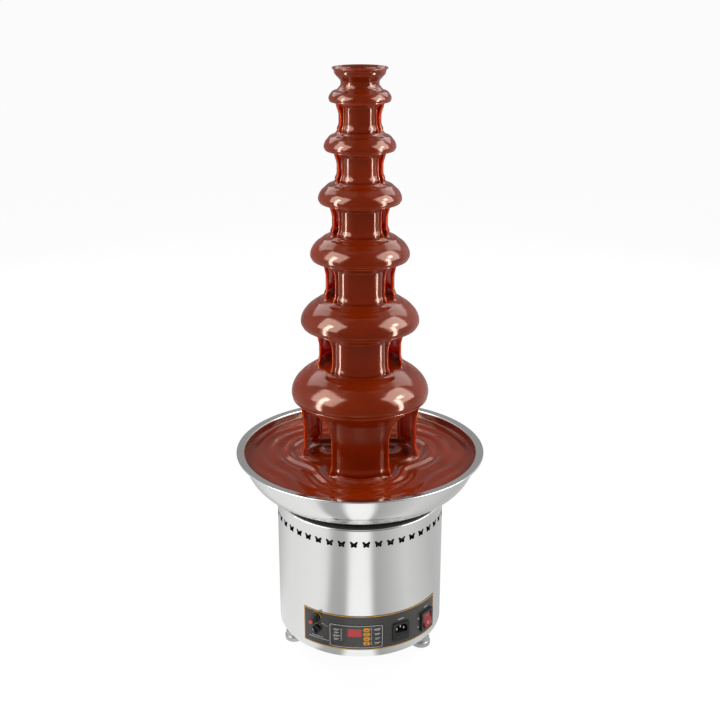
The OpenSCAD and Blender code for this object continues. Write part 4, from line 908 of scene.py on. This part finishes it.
        # Shares of painted glow: strongest on the edges, less on the webs and the inside face, least inside the lowest
        # tier
        edge_glow_share, web_glow_share, inside_glow_share = 0.65, 0.14, 0.14 if k == TIERS - 1 else 0.36
        lip = flow.curtain_r[k]
        neck = lip - flow.draw
        z_top = flow.tier_z[k] - (flow.tier_r[k] + flow.coat) * flow.edge_ratio + tuck
        fall = float(z_top - self.landing(k, np.array([neck]))[0])
        v = 0.5 * (1 - np.cos(np.linspace(0, math.pi, rows)))
        above = (1 - v) * fall
        fold = 3.4 * MM + 0.02 * fall
        reach = neck + (lip - neck) * (1 - smooth_step(v / drawn))
        reach = reach + flow.fold * bell(above - 1.5 * fold, fold) + flare * np.exp(-above / flare)
        sides = []
        for mid, top, sign in zip(mid_edges, top_edges, (-1, 1)):
            arch = min(1.7 * abs(math.radians(top - mid)) * neck, 0.42 * fall) / fall
            close = 1 - np.sqrt(np.maximum(1 - (1 - np.minimum(v / arch, 1)) ** 2, 0))
            spread = math.degrees(0.0034 / neck) * np.exp(-above / (0.05 * fall + 0.002))
            sides.append(mid + (top - mid) * close + sign * spread)
        left, right = sides
        v = v[:, None]
        centre = (reach - flow.sheet / 2)[:, None]
        width = centre * np.radians(right - left)[:, None] / 2
        psi = np.linspace(0, 2 * math.pi, ring, endpoint=False)[None, :]
        across = np.cos(psi) * width
        inset = width - np.abs(across)
        thick = flow.sheet / 2 + flow.bead * bell(inset - nose, 0.0028)
        thick = thick * np.sqrt(1 - np.clip((nose - inset) / nose, 0, 1) ** 2)
        sag = 0.00025 * np.sin(across / 0.006 + 1.7 * k) * smooth_step(inset / 0.006)
        deg = ((left + right) / 2)[:, None] + np.degrees(across / centre)
        strand = 0.0015 + 0.085 * neck
        past = np.radians(np.minimum(deg - mid_edges[0], mid_edges[1] - deg)) * neck - strand
        shoulder = 0.0013 * np.where(past > 0, bell(past, 1.2 * strand), bell(past, strand))
        groove = 0.0016 * bell(past, 0.32 * strand) + shoulder
        groove = groove * smooth_step(v / 0.10) * smooth_step((1 - v) / 0.05)
        face = np.sign(np.sin(psi))
        r = centre + face * thick + sag - groove
        z = z_top + (self.landing(k, r) - sunk - z_top) * v
        # Painted glow where light would come through: along the edges, on the webs beside the strands, and painted
        # light on the shaded inside face, fading downwards
        painted_edge_glow = edge_glow_share * bell(inset, 0.0024) * smooth_step(v / 0.04) * smooth_step((1 - v) / 0.06)
        painted_inside_glow = np.where(face < 0, inside_glow_share * (1 - 0.7 * v), 0.0)
        painted_web_glow = web_glow_share * smooth_step((-past - strand) / 0.003)
        shells.grid(polar(r, deg, z), caps=True, values=np.maximum(np.maximum(painted_edge_glow, painted_inside_glow), painted_web_glow))


class FOUNTAIN_OT_crown(bpy.types.Operator):
    """Chocolate that fills the crown, runs over its rim and down its neck"""

    bl_idname = "fountain.crown"
    bl_label = "Chocolate in the crown"

    def execute(self, context):
        u = np.linspace(0, 1, 33)
        bowl = (1 - np.cos(math.pi * np.minimum(u / 0.75, 1))) / 2
        lip = np.square(np.maximum(u - 0.75, 0) / 0.25)
        outside, inside, steel = (np.stack([neck + 10.6 * bowl + 3.6 * lip, 1006 + 22 * u], -1)
                                  for neck in (31.4, 28.75, 30.05))
        rim = [(45.5, 1028.6), (45.3, 1029.3), (44.6, 1029.6), (43.8, 1029.2), (42.9, 1028.2), (41.6, 1026.6)]
        r = np.linspace(40.0, 0, 34)
        surface = np.stack([r, 1022.2 + 2.6 * smooth_step((r - 30) / 10) + 0.5 * np.cos(r * 0.55)], -1)
        floor = [(0, 1017.2), (37.5, 1017.2)]
        cap = [(44.25, 1028.06)]
        foot = [(30.05, 997.4), (32.0, 997.4), (33.6, 998.4), (33.4, 999.6), (32.2, 1000.8), (31.5, 1002.6)]
        shells = Shells("thin")
        revolve(shells, np.vstack([outside, rim, surface, floor, inside[18:], cap, steel[::-1], foot]), 160)
        add_piece("chocolate_crown_fill", shells, BODY, "chocolate", ("chocolate_crown",), 75)
        return {"FINISHED"}


class FOUNTAIN_OT_pool(bpy.types.Operator):
    """Chocolate in the basin, with ripples around the feet of the curtains and a film on the wall"""

    bl_idname = "fountain.pool"
    bl_label = "Chocolate in the basin"

    def execute(self, context):
        flow = context.scene.fountain_flow
        steps, source_r = 288, 0.060
        top_r = np.concatenate([np.linspace(POOL_IN_R, 92, 34), np.linspace(93, POOL_OUT_R, 96)])
        from_wall, from_tube = POOL_OUT_R - top_r, top_r - POOL_IN_R
        meniscus = 2.0 * np.exp(-from_wall / 2.2) + 0.8 * np.exp(-from_tube / 2.0)
        top = np.stack([top_r, POOL_Z + meniscus], -1)
        film = arc(WALL_R, WALL_Z, 74.35, 74.35, -10.2, -2.6, 8)
        wall = arc(WALL_R, WALL_Z, 74.9, 74.9, -2.4, -90, 20)
        profile = np.vstack([top, film, wall, [(90, 290.1), (POOL_IN_R, 290.1), (POOL_IN_R, 320)]])
        free = smooth_step(from_wall / 16) * smooth_step(from_tube / 10)
        marks = np.concatenate([free, np.zeros(len(profile) - len(top))])
        shells = Shells("top")
        revolve(shells, profile, steps, np.repeat(marks, steps))
        sources = [tuple(polar(source_r, np.array(flow.turn + way * flow.rear_turn), LANDING_Z).tolist())
                   for way in (0, 1, -1)]
        made = ripple_tree(sources).bake("pool", shells.mesh("pool"), {
            "Height": flow.ripple, "Reach": 0.046, "Pitch": flow.pitch, "Fade": 0.055, "Wander": 0.016, "Seed": 3.0,
            "Material": finish_for("chocolate")})
        add_piece("chocolate_basin_fill", made, BODY, "chocolate", ("chocolate_pool",), 60)
        return {"FINISHED"}


class FOUNTAIN_OT_print(bpy.types.Operator):
    """Print on the panel: edge line, display outline, plain label bars and scales"""

    bl_idname = "fountain.print"
    bl_label = "Panel print"

    def execute(self, context):
        panel = context.scene.fountain_panel
        self.h = panel.print_h / MM
        copy_node("control_panel", "panel_sheet", "panel_paint", drum_radii=(PANEL_R, PANEL_BACK_R))
        copy_node("display_plate", "display_sheet", "display_film", drum_radii=(PLATE_R, PLATE_BACK_R))
        gold, white, red = Shells(), Shells(), Shells()
        self.edge_line(gold, panel.line_w / MM)
        self.display(white)
        self.scales(gold, white, red)
        for name, shells, color, rough in (("panel_edge_line", gold, panel.gold, 0.35),
                                           ("panel_light_print", white, panel.white, 0.5),
                                           ("panel_red_print", red, (0.5, 0.05, 0.03), 0.45)):
            paint = ink(name.replace("_", " ").capitalize(), color, rough, 0.08)
            add_piece(name, shells, BODY, "panel_paint", finish=paint)
        return {"FINISHED"}

    def line(self, shells, deg, z, path, width, radius=PANEL_R, closed=False):
        """A stroke whose path is given in millimetres about a direction and height on the panel"""
        shift = np.array([math.radians(deg) * radius, z])
        stroke(shells, np.asarray(path, float) + shift, width, self.h, on_panel(radius), closed)

    def bar(self, shells, deg, z, start, end, width, radius=PANEL_R):
        """A level bar"""
        self.line(shells, deg, z, [(start, 0), (end, 0)], width, radius)

    def edge_line(self, gold, width):
        margin = width / 2 + 0.3
        half, tall = math.radians(PANEL_HALF_DEG) * PANEL_R - margin, PANEL_HALF_H - margin
        self.line(gold, 0, PANEL_Z, [(-half, -tall), (half, -tall), (half, tall), (-half, tall)], width, closed=True)

    def display(self, white):
        """Outline of the display with a column of bars and brackets on each side"""
        half = math.radians(PLATE_HALF_DEG) * PLATE_R - 1.6
        self.line(white, PLATE_DEG, PLATE_Z, rounded_loop(2 * half, 43.6, 2.5), 0.8, PLATE_R, True)
        for deg, bracket_deg, top, pitch, width, drop, short, (reach, high, low), lengths in (
                (-26.3, -23.6, 79.5, 6.4, 1.1, 2.1, 3, (2.6, 1.6, -2.4), (10.5, 8.0, 12.0, 9.0)),
                (1.5, -2.2, BUTTON_TOP_Z, BUTTON_PITCH, 1.2, 2.4, 2.5, (-1.6, 2.6, -3.4), (12.0, 10.0, 8.5, 10.5))):
            for i, size in enumerate(lengths):
                z = top - pitch * i
                self.bar(white, deg, z, -size / 2, size / 2, width, PLATE_R)
                self.bar(white, deg, z - drop, -size / 2, size / 2 - short, 0.6, PLATE_R)
                self.line(white, bracket_deg, z, [(0, high), (reach, high), (reach, low), (0, low)], 0.5, PLATE_R)

    def scales(self, gold, white, red):
        """Scales around the knobs, label bars and the arrows beside the rocker"""
        self.line(gold, *SPEED_KNOB, arc(0, 0, 10.2, 10.2, 10, 118, 24), 1.0)
        self.line(red, *SPEED_KNOB, arc(0, 0, 10.2, 10.2, 124, 150, 6), 1.0)
        for a in np.radians((120, 90, 60)):
            self.line(white, *SELECTOR, [(r * math.cos(a), r * math.sin(a)) for r in (9.2, 11.0)], 0.7)
        self.line(white, -36.2, 84.2, [(-3, -1.2), (0, 1.0), (3, -1.2)], 0.8)
        self.bar(white, -34.6, 81.8, 0, 5, 0.6)
        for start, z, dashes in ((-44.0, 56.4, 5), (-46.6, 52.6, 9)):
            for i in range(dashes):
                self.bar(white, start + 1.75 * i, z, -1.7, 1.7, 1.1)
        self.bar(white, 18.4, 92.4, -6, 6, 1.2)
        self.bar(white, 41.5, 93.6, -5, 5, 1.2)
        self.line(white, 33.6, 77.5, [(-1.6, -1.2), (0, 1.4), (1.6, -1.2)], 0.8, closed=True)
        self.line(white, 33.6, 59.5, [(-1.6, 1.2), (1.6, 1.2), (0, -1.4)], 0.8, closed=True)


class FOUNTAIN_OT_controls(bpy.types.Operator):
    """Knobs, buttons, display window, power inlet and rocker switch"""

    bl_idname = "fountain.controls"
    bl_label = "Controls"

    def execute(self, context):
        panel = context.scene.fountain_panel
        self.white = tuple(panel.white)
        self.speed_knob(panel.rib_count)
        self.selector()
        for i in range(4):
            self.button(i)
        copy_node("display_window", "display_lens", "display_red", drum_radii=(PLATE_R,))
        self.screws()
        self.inlet_and_rocker()
        return {"FINISHED"}

    def speed_knob(self, ribs):
        """Turned knob with ribs around its grip and a red cap in its end"""
        place = drum_place(*SPEED_KNOB)
        shells = Shells()
        lathe(shells, [(0.01, -9), (3, -9), (3, 1.9), (7.6, 1.9), (7.8, 2.2), (7.8, 3.7), (7.3, 4.3), (6.1, 5.0),
                       (5.9, 6), (5.5, 12.5), (5.0, 17.6), (4.7, 18.5), (4.1, 18.9), (3.82, 18.7), (3.82, 16.9),
                       (0.01, 16.9)], place)
        add_piece("speed_knob_body", shells, "speed_knob", "black_plastic", ("speed_knob",), 40)
        rib, rows = Shells(), []
        for z, r in ((5.4, 0.1), (5.7, 0.5), (9, 0.52), (14.5, 0.5), (15.2, 0.1)):
            lean = 0.075 * (z - 5.4)
            rows.append([(r * math.cos(a), lean + r * math.sin(a), z) for a in np.linspace(0, 2 * math.pi, 8, False)])
        rib.grid(np.array(rows) * MM, caps=True)
        turn = (place.to_3x3() @ Matrix(((1, 0, 0), (0, 0, -1), (0, 1, 0)))).to_euler()
        made = copies("knob_ribs", rib.mesh("knob_rib"), finish_for("black_plastic"), ribs, 2 * math.pi / ribs,
                      5.85 * MM, place=tuple(place.translation), turn=tuple(turn))
        add_piece("speed_knob_ribs", made, "speed_knob", "black_plastic")
        cap = Shells()
        lathe(cap, [(0.01, 16.95), (3.72, 16.95), (3.72, 18.7), (3.45, 19.5), (2.6, 20.0), (0.01, 20.1)], place)
        add_piece("speed_knob_cap", cap, "speed_knob", "cap_red", ("speed_cap",), 40)

    def selector(self):
        """Round knob with a grip bar across it and a pointer line"""
        place, spin = drum_place(*SELECTOR), -30
        shells, pointer = Shells(), Shells()
        lathe(shells, [(0.01, -9), (3, -9), (3, 1.9), (7.3, 1.9), (7.5, 2.2), (7.5, 6.6), (7.1, 7.4), (6.4, 7.8),
                       (0.01, 7.9)], place)
        block(shells, place, 3.75, 14.25, 1.4, 3.0, 12.8, 0.8, spin)
        add_piece("selector_body", shells, "selector_knob", "black_plastic", ("selector_knob",), 40)
        turned = place @ Matrix.Rotation(math.radians(spin), 4, "Y")
        stroke(pointer, [(0, 1.5), (0, 6.0)], 0.9, 0.1, on_flat(turned, 12.78))
        add_piece("selector_pointer", pointer, "selector_knob", "black_plastic",
                  finish=ink("Selector pointer", self.white))

    def button(self, i):
        """A long button with its flange, stem and mark"""
        place = drum_place(BUTTON_DEG, BUTTON_TOP_Z - BUTTON_PITCH * i)
        body = "button_%d" % (i + 1)
        shells, mark = Shells(), Shells()
        block(shells, place, 12.3, 7.8, 3.88, -5.5, 2.7, 0.9)
        block(shells, place, 15.3, 7.8, 3.88, -4.0, -2.0, 0.3)
        lathe(shells, [(0.01, -7.5), (2, -7.5), (2, -4.5), (0.01, -4.5)], place, 24)
        add_piece("button_cap_%d" % (i + 1), shells, body, "button_orange", (body,), 40)
        paths = ([[(-2.6, -0.9), (-0.9, 0.9), (0.9, -0.9), (2.6, 0.9)]],
                 [[(-2.2, -0.9), (0, 1.1), (2.2, -0.9)]],
                 [[(-2.2, 0.9), (0, -1.1), (2.2, 0.9)]],
                 [arc(0, 0, 1.7, 1.7, -240, 60, 14), [(0, 0.4), (0, 2.2)]])
        for path in paths[i]:
            stroke(mark, path, 0.8, 0.08, on_flat(place, 2.7))
        add_piece("button_mark_%d" % (i + 1), mark, body, "button_orange",
                  finish=ink("Button mark %d" % (i + 1), (0.06, 0.035, 0.01)))

    def screws(self):
        """Four pan heads at the corners of the display plate, each with a near-black cross laid on its top as painted
        shade for its cross slot
        """
        head, cross = Shells(), Shells()
        lathe(head, [(0.01, -4.5), (1.2, -4.5), (1.2, 1.53), (2.16, 1.53), (2.16, 1.9), (1.8, 2.25), (1.2, 2.33),
                     (0.01, 2.36)], Matrix.Identity(4), 16)
        for w, h in ((2.2, 0.45), (0.45, 2.2)):
            loop = rounded_loop(w, h, 0.2, 2)
            cross.grid(np.array([upright(loop, y) for y in (2.2, 2.4)]) * MM, caps=True)
        step, low_z, pitch = math.radians(2 * (PLATE_HALF_DEG - 2)), 47.0 * MM, 39 * MM
        # Painted shade: a near-black cross stands for the shadow in each cross slot, which is not cut into the heads
        dark = ink("Screw slots", (0.02, 0.02, 0.02), 0.6)
        for name, shells, finish, replaced, sharp_deg in (
                ("corner_screws", head, finish_for("screw_steel"), ("plate_screws",), 40),
                ("corner_slot_shade", cross, dark, (), 38)):
            made = copies(name, shells.mesh(name), finish, 2, step, DRUM_R * MM, math.radians(PLATE_DEG) - step / 2,
                          (0.0, 0.0, low_z), rows=2, pitch=pitch)
            add_piece(name, made, BODY, "screw_steel", replaced, sharp_deg, finish)

    def inlet_and_rocker(self):
        """Mouldings with rounded edges, and the marks on the rocker's two faces"""
        for node, name, slot, bevel in (("inlet_housing", "inlet_moulding", "black_plastic", 0.35),
                                        ("fuse_drawer", "fuse_drawer_moulding", "black_plastic", 0.3),
                                        ("rocker_frame", "rocker_bezel", "black_plastic", 0.6),
                                        ("rocker", "rocker_paddle", "rocker_red", 0.7)):
            copy_node(node, name, slot, bevel)
        tilt, slope, mark_y, mark_z = math.radians(-12), math.atan2(1.2, 12.5), -6.4 * MM, 6.6 * MM
        place = drum_place(*ROCKER) @ Matrix.Translation((0, MM, 0)) @ Matrix.Rotation(tilt, 4, "X")
        marks = Shells()
        for sign, path, closed in ((1, [(0, -2.2), (0, 2.2)], False), (-1, arc(0, 0, 1.9, 1.9, 0, 345, 18), True)):
            half = place @ Matrix.Translation((0, mark_y, sign * mark_z)) @ Matrix.Rotation(sign * slope, 4, "X")
            stroke(marks, path, 0.8, 0.12, on_flat(half, 0.0), closed)
        add_piece("rocker_marks", marks, "rocker", "rocker_red", finish=ink("Rocker marks", self.white, 0.45))


# Studio

WHITE = (1, 1, 1, 1)
# Cards around the fountain: angle from the front in degrees, and brightness
NEAR_CARDS = ((-180, 0.36), (-140, 0.55), (-110, 0.84), (-62, 0.94), (-50, 0.90), (-43, 0.45), (-27, 0.42),
              (-21, 1.1), (0, 1.1), (6, 0.39), (45, 0.72), (90, 0.52), (140, 0.55), (180, 0.36))
FAR_CARDS = ((-180, 0.33), (-150, 0.33), (-115, 0.80), (-70, 0.80), (-40, 0.20), (35, 0.20), (70, 0.74),
             (115, 0.80), (150, 0.33), (180, 0.33))


class Surround(Nodes):
    """Nodes that show white to the camera, cards to reflections and plain light to matt surfaces"""

    def __init__(self, tree):
        super().__init__(tree)
        self.path = self.node("ShaderNodeLightPath").outputs

    def seen(self):
        """One where the camera, a reflection or a glass looks, zero for light on matt surfaces"""
        total = self.math("MAXIMUM", self.path["Is Camera Ray"], self.path["Is Glossy Ray"])
        return self.math("MAXIMUM", total, self.path["Is Transmission Ray"])

    def over_camera(self, color):
        """White for the camera, and another colour in reflections"""
        return self.mix(self.path["Is Camera Ray"], color, WHITE)

    def bands(self, place, cards):
        """Pale and grey cards that stand around the fountain, as its steel reflects them"""
        split = self.node("ShaderNodeSeparateXYZ", _0=place).outputs
        angle = self.math("ARCTAN2", split["X"], self.times(split["Y"], -1.0))
        ramp = self.node("ShaderNodeValToRGB", _0=self.span(angle, 0.0, 1.0, -math.pi, math.pi))
        elements = ramp.color_ramp.elements
        elements.remove(elements[1])
        for i, (deg, level) in enumerate(cards):
            at = (deg + 180) / 360
            element = elements[0] if i == 0 else elements.new(at)
            element.position = at
            element.color = (level, level, level, 1)
        return ramp.outputs[0]


class FOUNTAIN_OT_stage(bpy.types.Operator):
    """Pale floor, side softboxes, surrounding light and the camera"""

    bl_idname = "fountain.stage"
    bl_label = "Studio"

    def execute(self, context):
        stage = context.scene.fountain_stage
        context.scene.view_settings.view_transform = "Standard"
        self.camera(context, stage)
        self.floor()
        self.world(context, stage)
        self.lamps(context, stage)
        return {"FINISHED"}

    def camera(self, context, stage):
        data = bpy.data.cameras.new("camera")
        data.lens = stage.lens
        data.sensor_width = 36.0
        camera = linked("camera", data)
        camera.location = stage.camera
        camera.rotation_euler = Euler((math.radians(stage.pitch), 0, math.radians(stage.yaw)))
        context.scene.camera = camera

    def lamps(self, context, stage):
        """Lamps on both sides; some of them only gleam on the chocolate"""
        glossy = bpy.data.collections.new("Glossy chocolate")
        for item in context.scene.objects:
            if item.name.startswith("chocolate_"):
                glossy.objects.link(item)
        turn, aim = Matrix.Rotation(math.radians(stage.yaw), 3, "Z"), Vector((0, 0, 0.6))
        for side, sign, front in (("left", -1, (-0.80, -0.34, 0.62)), ("right", 1, (0.88, -0.14, 0.58))):
            rear, card, strip = (sign * 0.75, 0.85, 0.35), (sign * 0.62, 0.70, 0.80), (sign * 1.30, -0.53, 0.10)
            for name, way, far, width, height, power, only in (
                    ("softbox_", front, 2.3, 2.0, 2.0, stage.box_power, None),
                    ("gleam_", front, 2.28, 2.0, 2.0, stage.gleam_power, glossy),
                    ("core_", front, 2.25, 0.40, 0.40, stage.core_power, glossy),
                    ("rear_", rear, 2.3, 1.0, 1.0, stage.rear_power, None),
                    ("card_", card, 2.2, 1.3, 1.3, stage.card_power, glossy),
                    ("strip_", strip, 1.0, 0.2, 1.4, stage.strip_power, glossy)):
                data = bpy.data.lights.new(name + side, "AREA")
                data.shape = "RECTANGLE"
                data.size, data.size_y, data.energy = width, height, power
                lamp = linked(name + side, data)
                away = turn @ Vector(way) * far
                lamp.location = aim + away
                lamp.rotation_euler = away.to_track_quat("Z", "Y").to_euler()
                lamp.visible_glossy = way != rear
                if only:
                    lamp.visible_diffuse = False
                    lamp.light_linking.receiver_collection = only

    def floor(self):
        """A pale floor that takes the fountain's shadow and shows the cards in reflections"""
        half, near, away, glow_share = 30, 0.9, 1.3, 0.95
        mesh = bpy.data.meshes.new("floor")
        mesh.from_pydata([(-half, -half, 0), (half, -half, 0), (half, half, 0), (-half, half, 0)], [], [(0, 1, 2, 3)])
        material = bpy.data.materials.new("Pale floor")
        material.use_nodes = True
        n = Surround(material.node_tree)
        n.tree.nodes.remove(n.tree.nodes["Principled BSDF"])
        place = n.node("ShaderNodeTexCoord").outputs["Object"]
        far = n.node("ShaderNodeVectorMath", {"operation": "LENGTH"}, _0=place).outputs["Value"]
        fade = n.span(far, 0.0, 1.0, near, away)
        cards = n.mix(fade, n.bands(place, NEAR_CARDS), n.bands(place, FAR_CARDS))
        matt = n.node("ShaderNodeBsdfDiffuse", Color=(0.92, 0.92, 0.92, 1))
        glow = n.node("ShaderNodeEmission", Color=n.over_camera(cards))
        both = n.node("ShaderNodeMixShader", _0=n.times(n.seen(), glow_share), _1=matt.outputs[0], _2=glow.outputs[0])
        n.put(n.tree.nodes["Material Output"].inputs["Surface"], both.outputs[0])
        mesh.materials.append(material)
        floor = linked("floor", mesh)

    def world(self, context, stage):
        world = bpy.data.worlds.new("studio")
        world.use_nodes = True
        context.scene.world = world
        n = Surround(world.node_tree)
        cards = n.bands(n.node("ShaderNodeTexCoord").outputs["Generated"], FAR_CARDS)
        light = n.mix(n.seen(), (stage.fill, stage.fill, stage.fill, 1), n.over_camera(cards))
        n.put(n.tree.nodes["Background"].inputs["Color"], light)


class FOUNTAIN_PT_panel(bpy.types.Panel):
    """Lists the fountain's pieces and settings in the sidebar"""

    bl_idname = "FOUNTAIN_PT_panel"
    bl_label = "Chocolate fountain"
    bl_space_type = "VIEW_3D"
    bl_region_type = "UI"
    bl_category = "Fountain"

    def draw(self, context):
        for operator in operators:
            self.layout.operator(operator.bl_idname)
        for group in groups:
            settings = getattr(context.scene, groups[group])
            for name in group.__annotations__:
                self.layout.prop(settings, name)


groups = {FountainFlow: "fountain_flow", FountainSteel: "fountain_steel", FountainPanel: "fountain_panel",
          FountainStage: "fountain_stage"}
operators = (FOUNTAIN_OT_frame, FOUNTAIN_OT_drum, FOUNTAIN_OT_basin, FOUNTAIN_OT_tower, FOUNTAIN_OT_flow,
             FOUNTAIN_OT_crown, FOUNTAIN_OT_pool, FOUNTAIN_OT_print, FOUNTAIN_OT_controls, FOUNTAIN_OT_stage)
classes = (*groups, *operators, FOUNTAIN_PT_panel)


def register():
    for cls in classes:
        bpy.utils.register_class(cls)
    for group, name in groups.items():
        setattr(bpy.types.Scene, name, bpy.props.PointerProperty(type=group))


def unregister():
    for name in groups.values():
        delattr(bpy.types.Scene, name)
    for cls in reversed(classes):
        bpy.utils.unregister_class(cls)


def main():
    register()
    bpy.ops.fountain.frame()
    bpy.ops.fountain.drum()
    bpy.ops.fountain.basin()
    bpy.ops.fountain.tower()
    bpy.ops.fountain.flow()
    bpy.ops.fountain.crown()
    bpy.ops.fountain.pool()
    bpy.ops.fountain.print()
    bpy.ops.fountain.controls()
    bpy.ops.fountain.stage()


if __name__ == "__main__":
    main()
